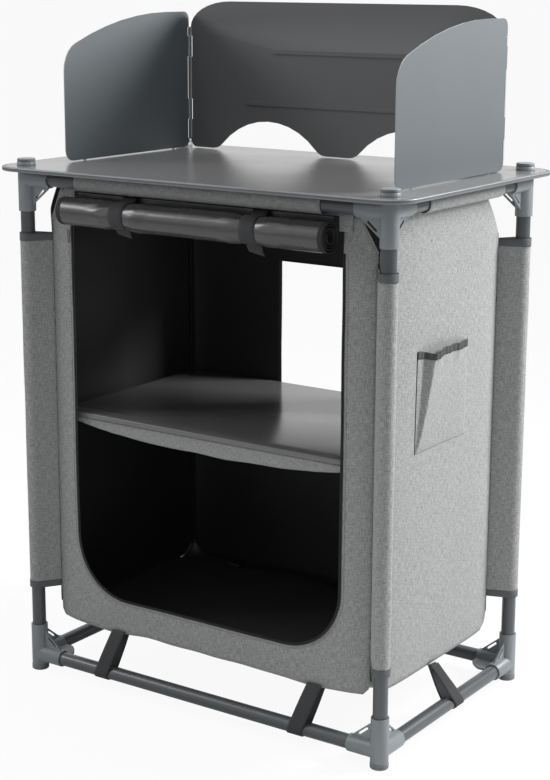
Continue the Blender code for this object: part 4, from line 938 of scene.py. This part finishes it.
for corner, sign_x, sign_y, _ in CORNERS:
    piece, flap_length = flap("leg_flap_" + corner, sign_x, sign_y, FLAP_LOW, FLAP_TOP, FLAP_RADIUS, 70,
                              [HEATHER], ["corner_flap_" + corner], 0.5 * MM)
    for level, low, high in (("top", FLAP_TOP - 12 * MM, FLAP_TOP + 0.5 * MM),
                             ("bottom", FLAP_LOW - 6 * MM, FLAP_LOW + 5 * MM)):
        flap(f"flap_binding_{level}_{corner}", sign_x, sign_y, low, high, FLAP_RADIUS + 0.7 * MM, 4,
             [BINDING], (), 0.2 * MM)
print("flap cut across:", round(flap_length / MM), "mm")


# %% [markdown]
# ## Corner seams
# Where front, side and flap meet, the seam allowance is rolled and bound. It is drawn as a
# slightly wavy cord in the black lining down each corner, partly a real seam and partly painted
# shade in the crevice there.

# %% Roll the corner seams
SEAM_LOW, SEAM_HIGH, SLANT_TOP = 0.118, 0.735, 0.806


def cord_along(name, points, radius, finish, segments=8):
    """A thin round seam along points."""
    points = [Vector(point) for point in points]
    line = []
    for index, point in enumerate(points):
        along = (points[min(index + 1, len(points) - 1)] - points[max(index - 1, 0)]).normalized()
        out = along.cross(Vector((0, 1, 0)) if abs(along.y) < 0.9 else Vector((1, 0, 0))).normalized()
        line.append((point, out, along.cross(out)))
    return swept(name, ring((0, 0), radius, 0, 360 - 360 / segments, segments - 1), line, finish, "frame",
                 looped=False, smooth=50)


for corner, sign_x, sign_y, _ in CORNERS:
    heights = [SEAM_LOW + (SEAM_HIGH - SEAM_LOW) * i / 90 for i in range(91)]
    points = [(sign_x * (SEAM_X + ripple(sign_x, sign_y, z, 0.02, 1.2 * MM)),
               sign_y * (SEAM_Y + ripple(sign_y, sign_x, z, 0.025, 1.0 * MM)), z) for z in heights]
    # The near-black cord is the seam and also paints the shade of the corner's crevice.
    cord_along("corner_seam_" + corner, points, 1.3 * MM, LINING)
    start = (SLANT_FRONT if sign_y < 0 else SLANT_BACK)[1] - 1 * MM
    halves = [(front_half(z, sign_y > 0), z)
              for z in (start + (SLANT_TOP - start) * i / 20 for i in range(21))]
    slanted = [(sign_x * half, sign_y * (front_depth(half) + 0.4 * MM), z) for half, z in halves]
    cord_along("slant_hem_" + corner, slanted, 1.2 * MM, HEATHER)
print("corner seams:", 2 * len(CORNERS), "each", round((SEAM_HIGH - SEAM_LOW) / MM), "mm long or less")

# %% [markdown]
# ## Floor cloth and shelf sling
# The floor is a flat sheet that hangs between the walls. The shelf board rests on a shallow sling
# whose front shows as a soft, sagging hem below the board.

# %% Lay the floor and the sling
def floor_place(s, t):
    """Flat in the middle; its corners climb to meet the rounded lower corners of the walls."""
    x, y = 2 * s - 1, 2 * t - 1
    reach_x = side_reach(y * SEAM_Y, BODY_LOW) - 0.8 * MM
    reach_y = front_depth(x * SEAM_X) - 0.8 * MM
    at_x, at_y = x * reach_x, y * reach_y
    in_x = clamp((abs(at_x) - (SEAM_X - 24 * MM)) / (20 * MM))
    in_y = clamp((abs(at_y) - (SEAM_Y - SIDE_ROUND)) / SIDE_ROUND)
    climb = in_x * (1 - math.sqrt(1 - in_y * in_y)) * SIDE_ROUND
    sag = 1.2 * MM * (1 - x * x) * (1 - y * y)
    drop = hem_drop(at_x) * ease(0.6, 1.0, abs(y)) * (1 - ease(*HEM_END, abs(at_x)))
    return Vector((at_x, at_y, BODY_LOW + 0.5 * MM - sag - drop + climb
                   + ripple(x, y, 0, 0.3, 0.5 * MM)))


# The floor's upper side takes the lighter copy of the lining, which is painted light.
floor_cloth = woven("floor_cloth", 120, 90, floor_place, (0.607, 0.371), 0.8 * MM, [FLOOR_LINING_PAINTED_LIGHT, HEATHER],
                    ["fabric_floor"], facing=lambda at: (0, 0, 1))

SLING_HALF, SLING_DEEP, SLING_RIM, SLING_SAG = 0.2955, 0.1758, 0.4360, 26 * MM


def sling_sag(x):
    return SLING_SAG - 24 * MM * min(1, abs(x) / SLING_HALF) ** 2.5


def sling_place(s, t):
    x = (2 * s - 1) * SLING_HALF
    sag = max(2.5 * MM, sling_sag(x) + ripple(x, 0, 0, 0.06, 1.6 * MM) * (1 - abs(2 * s - 1)))
    fold = 5 * MM
    path = [Vector((-SLING_DEEP, SLING_RIM)), Vector((-SLING_DEEP, SLING_RIM - max(0, sag - fold)))]
    path += [Vector((-SLING_DEEP + min(fold, sag) * (1 - math.cos(a)),
                     SLING_RIM - max(0, sag - fold) - min(fold, sag) * math.sin(a)))
             for a in (0.4, 0.8, 1.2, math.pi / 2)]
    path += [Vector((-point.x, point.y)) for point in reversed(path)]
    share = t / 0.12 * 0.06 if t < 0.12 else (0.06 + (t - 0.12) / 0.76 * 0.88 if t < 0.88
                                            else 0.94 + (t - 0.88) / 0.12 * 0.06)
    at = walk(path, share)
    return Vector((x, at.x, at.y))


sling = woven("sling_cloth", 90, 60, sling_place, (0.591, 0.40), 1.1 * MM, [HEATHER, LINING],
              ["shelf_sling"], facing=lambda at: (0, 0, -1))
print("sling lowest:", round((SLING_RIM - sling_sag(0)) / MM), "mm over the floor")

# %% [markdown]
# ## The rolled-up door
# The door is one long cloth, coated on the side that shows when it is rolled. It hangs behind the
# roll from the header and winds under and up in a spiral. Straps cinch it at two places, so it
# narrows there, and short creases run out from them. Its ends are edged with zip tape.

# %% Wind the door
ROLL_HALF = 0.240
ROLL_RADIUS, ROLL_PITCH, ROLL_TURNS = 23.0 * MM, 4.0 * MM, 3.6
ROLL_Y, ROLL_Z = -(WALL_Y + 0.001 + 0.0003 + 0.0009 + 0.0225), 0.7705
STRAPS_X = (-0.126, 0.112)
HANG_TOP, HUNG_SHARE = 0.797, 0.07


def cinch(x):
    """How full the roll is at x: drawn in at the straps, full at its ends."""
    near = min(abs(x - strap) for strap in STRAPS_X)
    return 1.0 - 0.13 * math.exp(-(near / 0.022) ** 2) + 0.01 * ease(0.17, 0.24, abs(x))


def creases(x, angle):
    """Creases that run out from the straps, and a few long soft dents."""
    near = min(abs(x - strap) for strap in STRAPS_X)
    fan = math.exp(-((near - 0.03) / 0.022) ** 2)
    wave = noise.noise(Vector((x * 26, math.cos(angle) * 2.4, math.sin(angle) * 2.4)))
    long = noise.noise(Vector((x * 9 + 4, math.cos(angle) * 1.3, math.sin(angle) * 1.3)))
    sharp = 1 - abs(wave) * 2.2
    return (fan * 1.5 * sharp + long * 1.1) * MM


def door_place(s, t):
    x = (2 * s - 1) * ROLL_HALF
    if t < HUNG_SHARE:
        share = t / HUNG_SHARE
        return Vector((x, ROLL_Y + ROLL_RADIUS * (1 - share * (1 - cinch(x))),
                       HANG_TOP + (ROLL_Z - HANG_TOP) * share))
    turn = ((t - HUNG_SHARE) / (1 - HUNG_SHARE)) ** 1.12 * ROLL_TURNS
    angle = 2 * math.pi * turn
    radius = (ROLL_RADIUS - ROLL_PITCH * turn) * cinch(x)
    radius += creases(x, angle) * clamp(1.15 - turn * 0.5) * ease(0, 0.08, turn)
    x += 0.9 * MM * math.sin(turn * 2.1) * (1 if s > 0.5 else -1) * ease(0.9, 1, abs(2 * s - 1))
    return Vector((x, ROLL_Y + radius * math.cos(angle), ROLL_Z - radius * math.sin(angle)))


ROLL_LONG = 0.029 + 2 * math.pi * ROLL_TURNS * (ROLL_RADIUS - ROLL_PITCH * ROLL_TURNS / 2) * 0.9
door = woven("door_roll", 170, 150, door_place, (2 * ROLL_HALF, ROLL_LONG), 1.2 * MM,
             [DOOR_COAT, ZIP_TAPE], ["rolled_door"],
             facing=lambda at: (0, at.y - ROLL_Y, at.z - ROLL_Z))
door.modifiers["thickness"].material_offset = 0
for face in door.data.polygons:
    if abs(face.center.x) > ROLL_HALF - 9 * MM:
        face.material_index = 1
print("door cloth:", round(2 * ROLL_HALF / MM), "x", round(ROLL_LONG / MM), "mm rolled")


# %% [markdown]
# ## Straps
# A strap is a ribbon that follows a path, with its width set square to it. The roll's straps run
# from the header over the roll and leave a loose end; the tie straps loop round the bottom rails.

# %% Lay ribbons along paths
def ribbon(name, path, width, thickness, finish, replaces=(), columns=4):
    """path holds (point, width direction) pairs."""
    points = [Vector(point) for point, _ in path]
    widths = [Vector(direction) for _, direction in path]
    length = sum((b - a).length for a, b in zip(points, points[1:]))

    def place(s, t):
        at = t * (len(points) - 1)
        index = min(int(at), len(points) - 2)
        share = at - index
        return (points[index].lerp(points[index + 1], share)
                + widths[index].lerp(widths[index + 1], share) * (s - 0.5) * width)
    return woven(name, columns, (len(points) - 1) * 2, place, (width, length), thickness, [finish],
                 replaces)


def roll_strap_path(middle, kick, tail):
    path = [((middle, ROLL_Y + ROLL_RADIUS * 0.80, HANG_TOP), (1, 0, 0))]
    for degrees in range(300, 84, -6):
        angle = math.radians(degrees)
        radius = (ROLL_RADIUS - ROLL_PITCH * min(degrees, 250) / 360) * 0.87 + 2.0 * MM
        wander = 0.6 * MM * math.sin(degrees * 0.05 + middle * 40)
        path.append(((middle + wander, ROLL_Y + radius * math.cos(angle), ROLL_Z - radius * math.sin(angle)),
                     (1, 0, 0)))
    (x, y, z), _ = path[-1]
    for share in (0.25, 0.5, 0.75, 1.0):
        path.append(((x + kick * share * share, y + 3.5 * MM * share, z - tail * share),
                     (1, 0, -0.18 * share * (1 if kick > 0 else -1))))
    return path


for side, middle, kick, tail in (("left", STRAPS_X[0], 1.5 * MM, 10 * MM),
                                 ("right", STRAPS_X[1], 3 * MM, 14 * MM)):
    ribbon("roll_tie_" + side, roll_strap_path(middle, kick, tail), 27 * MM, 1.2 * MM, WEBBING,
           ["roll_strap_" + side])


def tie_path(across, slant, apart):
    """A loop from the body's bottom edge round a rail: (sideways, outward, height)."""
    radius = TUBE_RADIUS + 1.1 * MM
    top, inner = BODY_LOW + 1 * MM, -12.5 * MM
    lean = math.atan2(radius - inner - 4.5 * MM, top - RAIL_DROP)
    path = []
    start, end = Vector((inner + apart / 3, top)), Vector((inner - apart * 2 / 3, top))
    loop = [Vector((radius * math.cos(lean / 2 - (math.pi + lean) * i / 16),
                    RAIL_DROP + radius * math.sin(lean / 2 - (math.pi + lean) * i / 16)))
            for i in range(17)]
    legs = [start.lerp(loop[0], i / 8) for i in range(8)] + loop + [loop[-1].lerp(end, i / 8)
                                                                    for i in range(1, 9)]
    for index, at in enumerate(legs):
        rise = (at.y - RAIL_DROP) / (top - RAIL_DROP)
        bow = 1.2 * MM * math.sin(math.pi * clamp(rise)) * (1 if index < 12 else -1)
        path.append((across + slant * rise, at.x + bow, at.y))
    return path


def tie(name, side, across, slant):
    """Place a tie strap on one of the four bottom rails."""
    path = []
    for along, out, z in tie_path(across, slant, 13.5 * MM if side in ("front", "back") else 4 * MM):
        if side in ("front", "back"):
            face = -1 if side == "front" else 1
            path.append(((along, face * (LEG_Y + out), z), (1, 0, 0)))
        else:
            face = -1 if side == "left" else 1
            rise = (z - RAIL_DROP) / (BODY_LOW - RAIL_DROP)
            twist = math.radians(12) * ease(0.15, 0.85, rise)
            gather = 1 - 0.3 * ease(0.1, 0.8, rise)
            path.append(((face * (LEG_X + out), along, z),
                         (face * gather * math.sin(twist), gather * math.cos(twist), 0)))
    ribbon(name, path, 26 * MM, 1.3 * MM, WEBBING, ["tie_strap_" + name[4:]], columns=6)


for side, sign in (("left", -1), ("right", 1)):
    tie("tie_front_" + side, "front", sign * STRAP_AT, 22 * MM)
    tie("tie_back_" + side, "back", sign * STRAP_AT, -22 * MM)
    tie("tie_" + side, side, 18 * MM, -42 * MM)

# %% [markdown]
# ## The door's zip
# A narrow black tape borders the opening with a coil of fine teeth on its inner edge. Hundreds of
# teeth are one small block, copied along the curve in a single mesh.

# %% Sew in the zip
def zip_point(u, grow, out):
    at = door_edge(u, grow)
    on_wall = hang(-1, at.x, at.y)
    return on_wall + Vector((0, -out, 0))


ZIP_START, TEETH_START = 0.031, 0.033
tape = woven("zip_tape_band", 3, 260,
             lambda s, t: zip_point(ZIP_START + (1 - 2 * ZIP_START) * t, s * 4 * MM - 0.8 * MM, 1.1 * MM),
             (4 * MM, 1.6), 0.7 * MM, [ZIP_TAPE], ["door_zip_tape"],
             facing=lambda at: (0, -1, 0))


def along_door(grow, pitch, out):
    """Places and directions at an even pitch along the door's edge."""
    fine = [zip_point(TEETH_START + (1 - 2 * TEETH_START) * i / 1500, grow, out) for i in range(1501)]
    found, gone = [], 0.0
    for a, b in zip(fine, fine[1:]):
        gone += (b - a).length
        if gone >= pitch:
            found.append((b, (b - a).normalized()))
            gone = 0.0
    return found


def repeat_block(name, places, size, finish, face_out):
    """Small blocks at (place, direction) pairs, all in one mesh: length, width and height in size."""
    bm = bmesh.new()
    for at, along in places:
        out = Vector(face_out)
        side = along.cross(out).normalized()
        turn = Matrix((along * size[0], side * size[1],
                       side.cross(along).normalized() * size[2])).transposed()
        bmesh.ops.create_cube(bm, size=1, matrix=Matrix.Translation(at) @ turn.to_4x4())
    bmesh.ops.recalc_face_normals(bm, faces=bm.faces)
    return add_piece(name, bm, [finish], "frame", smooth=80)


teeth = repeat_block("zip_teeth", along_door(0.6 * MM, 2.2 * MM, 1.9 * MM), (1.1 * MM, 2.6 * MM, 1.0 * MM),
                     ZIP_TAPE, (0, -1, 0))
seam = repeat_block("door_topstitch", along_door(7.5 * MM, 4.0 * MM, 0.85 * MM),
                    (2.8 * MM, 0.6 * MM, 0.5 * MM), THREAD, (0, -1, 0))
print("teeth:", len(teeth.data.polygons) // 6)

# %% [markdown]
# ## The side pocket
# The pocket is sewn to the right wall at its sides and bottom, and elastic draws its mouth in. Its
# slack gathers in one deep fold that runs from the mouth to the lower front corner, and the cloth
# stands proud behind that fold.

# %% Sew on the pocket
POCKET_Y, POCKET_LOW, POCKET_WIDE, POCKET_HIGH = -0.086, 0.442, 0.150, 0.146


def pocket_fold(v):
    """Share of the width where the loose cloth folds over, and how far it stands off there."""
    return 0.012 + 0.19 * v ** 0.8, 15 * MM * v ** 0.7


def pocket_stand(u, v):
    """How far the pocket's cloth stands off the wall: flat, steep up to a fold, then a slow fall."""
    fold, crest = pocket_fold(v)
    if u < fold:
        return crest * clamp((u / fold - 0.62) / 0.38)
    fall = (u - fold) / (1 - fold)
    gather = ease(0.72, 1.0, v) * (1.2 * MM * math.sin(u * 26)
                                   + 5 * MM * math.exp(-((u - 0.80) / 0.10) ** 2))
    return crest * (1 - fall) ** 1.4 + gather * math.sin(math.pi * u)


def pocket_place(s, t, extra=0.0):
    """A point of the pocket; its sewn edges lie in the wall's own surface."""
    y = POCKET_Y + POCKET_WIDE * s - 1.5 * MM * (1 - t) * (1 - s)
    dip = 5 * MM * math.exp(-((s - 0.22) / 0.10) ** 2) * t ** 6
    z = POCKET_LOW + POCKET_HIGH * t + 6 * MM * (1 - s) * t - dip
    sewn = 1.1 * MM * ease(0, 0.05, min(s, 1 - s, t)) - 0.3 * MM
    return Vector((side_depth(1, y, z) + 0.7 * MM + sewn + extra + pocket_stand(s, t), y, z))


pocket = woven("pocket_cloth", 110, 60, pocket_place, (0.175, 0.150), 0.8 * MM, [HEATHER, LINING],
               ["side_pocket"], facing=lambda at: (1, 0, 0))
band = woven("pocket_elastic_edge", 90, 5,
             lambda s, t: pocket_place(s, 0.935 + 0.075 * t, 1.1 * MM + 0.7 * MM * math.sin(s * 95)),
             (0.15, 0.012), 0.9 * MM, [ELASTIC], ["pocket_elastic"],
             facing=lambda at: (1, 0, 0))
# A near-black cord along the pocket's sewn front edge: painted shade in the gap there.
cord_along("pocket_seam_painted_shade", [pocket_place(0.004, i / 40, 0.5 * MM) for i in range(41)], 0.7 * MM, ZIP_TAPE)
print("pocket stands out", round(pocket_fold(1)[1] / MM), "mm at its fold")

# %% [markdown]

# %% [markdown]
# ## Floor and light
# The cupboard stands on white, with a soft shadow. The floor mixes a diffuse white with plain white
# for the camera, so the shadow stays. A large soft light from the right makes the side wall pale
# and leaves the front in shade; the world is dim for the object but white for the camera and for
# reflections.

# %% Build the studio
FLOOR_WHITE, FILL_LIGHT = 0.93, 0.26
stage = bmesh.new()
bmesh.ops.create_circle(stage, cap_ends=True, segments=64, radius=150)
stage_mesh = bpy.data.meshes.new("studio_floor")
stage.to_mesh(stage_mesh)
stage.free()
stage_floor = bpy.data.objects.new("studio_floor", stage_mesh)
bpy.context.scene.collection.objects.link(stage_floor)
stage_floor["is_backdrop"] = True
paper = bpy.data.materials.new("studio_paper")
paper.use_nodes = True
tree = paper.node_tree
tree.nodes.clear()
diffuse = tree.nodes.new("ShaderNodeBsdfDiffuse")
diffuse.inputs["Color"].default_value = (0.95, 0.95, 0.95, 1)
glow = tree.nodes.new("ShaderNodeEmission")
mixed = tree.nodes.new("ShaderNodeMixShader")
output = tree.nodes.new("ShaderNodeOutputMaterial")
rays = tree.nodes.new("ShaderNodeLightPath")
share = tree.nodes.new("ShaderNodeMath")
share.operation, share.inputs[1].default_value = "MULTIPLY", FLOOR_WHITE
tree.links.new(rays.outputs["Is Camera Ray"], share.inputs[0])
tree.links.new(share.outputs[0], mixed.inputs[0])
tree.links.new(diffuse.outputs[0], mixed.inputs[1])
tree.links.new(glow.outputs[0], mixed.inputs[2])
tree.links.new(mixed.outputs[0], output.inputs["Surface"])
stage_mesh.materials.append(paper)

world = bpy.data.worlds.new("studio")
bpy.context.scene.world = world
world.use_nodes = True
tree = world.node_tree
ground = tree.nodes["Background"]
rays = tree.nodes.new("ShaderNodeLightPath")
seen = tree.nodes.new("ShaderNodeMath")
seen.operation = "ADD"
tree.links.new(rays.outputs["Is Camera Ray"], seen.inputs[0])
tree.links.new(rays.outputs["Is Glossy Ray"], seen.inputs[1])
level = tree.nodes.new("ShaderNodeMath")
level.operation, level.use_clamp = "MULTIPLY_ADD", True
level.inputs[1].default_value, level.inputs[2].default_value = 1 - FILL_LIGHT, FILL_LIGHT
ground.inputs["Color"].default_value = (1, 1, 1, 1)
tree.links.new(seen.outputs[0], level.inputs[0])
tree.links.new(level.outputs[0], ground.inputs["Strength"])


def lamp(name, place, target, size, power):
    data = bpy.data.lights.new(name, "AREA")
    data.shape, data.size, data.size_y, data.energy = "RECTANGLE", *size, power
    light = bpy.data.objects.new(name, data)
    bpy.context.scene.collection.objects.link(light)
    way = Vector(target) - Vector(place)
    light.matrix_world = Matrix.Translation(place) @ way.to_track_quat("-Z", "Y").to_matrix().to_4x4()


lamp("right_window", (1.65, 1.25, 1.75), (0.1, 0, 0.85), (0.8, 0.8), 74)
lamp("sky", (0.0, -0.2, 3.0), (0, 0, 0.6), (2.0, 1.4), 36)
lamp("left_window", (-2.2, -1.5, 2.1), (0, 0, 0.6), (1.0, 0.8), 22)
bpy.context.scene.view_settings.view_transform = "Standard"
print("lamps:", len(bpy.data.lights))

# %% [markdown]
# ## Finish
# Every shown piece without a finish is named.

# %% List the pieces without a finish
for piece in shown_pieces():
    if not piece.data.materials:
        print("no finish:", piece.name)
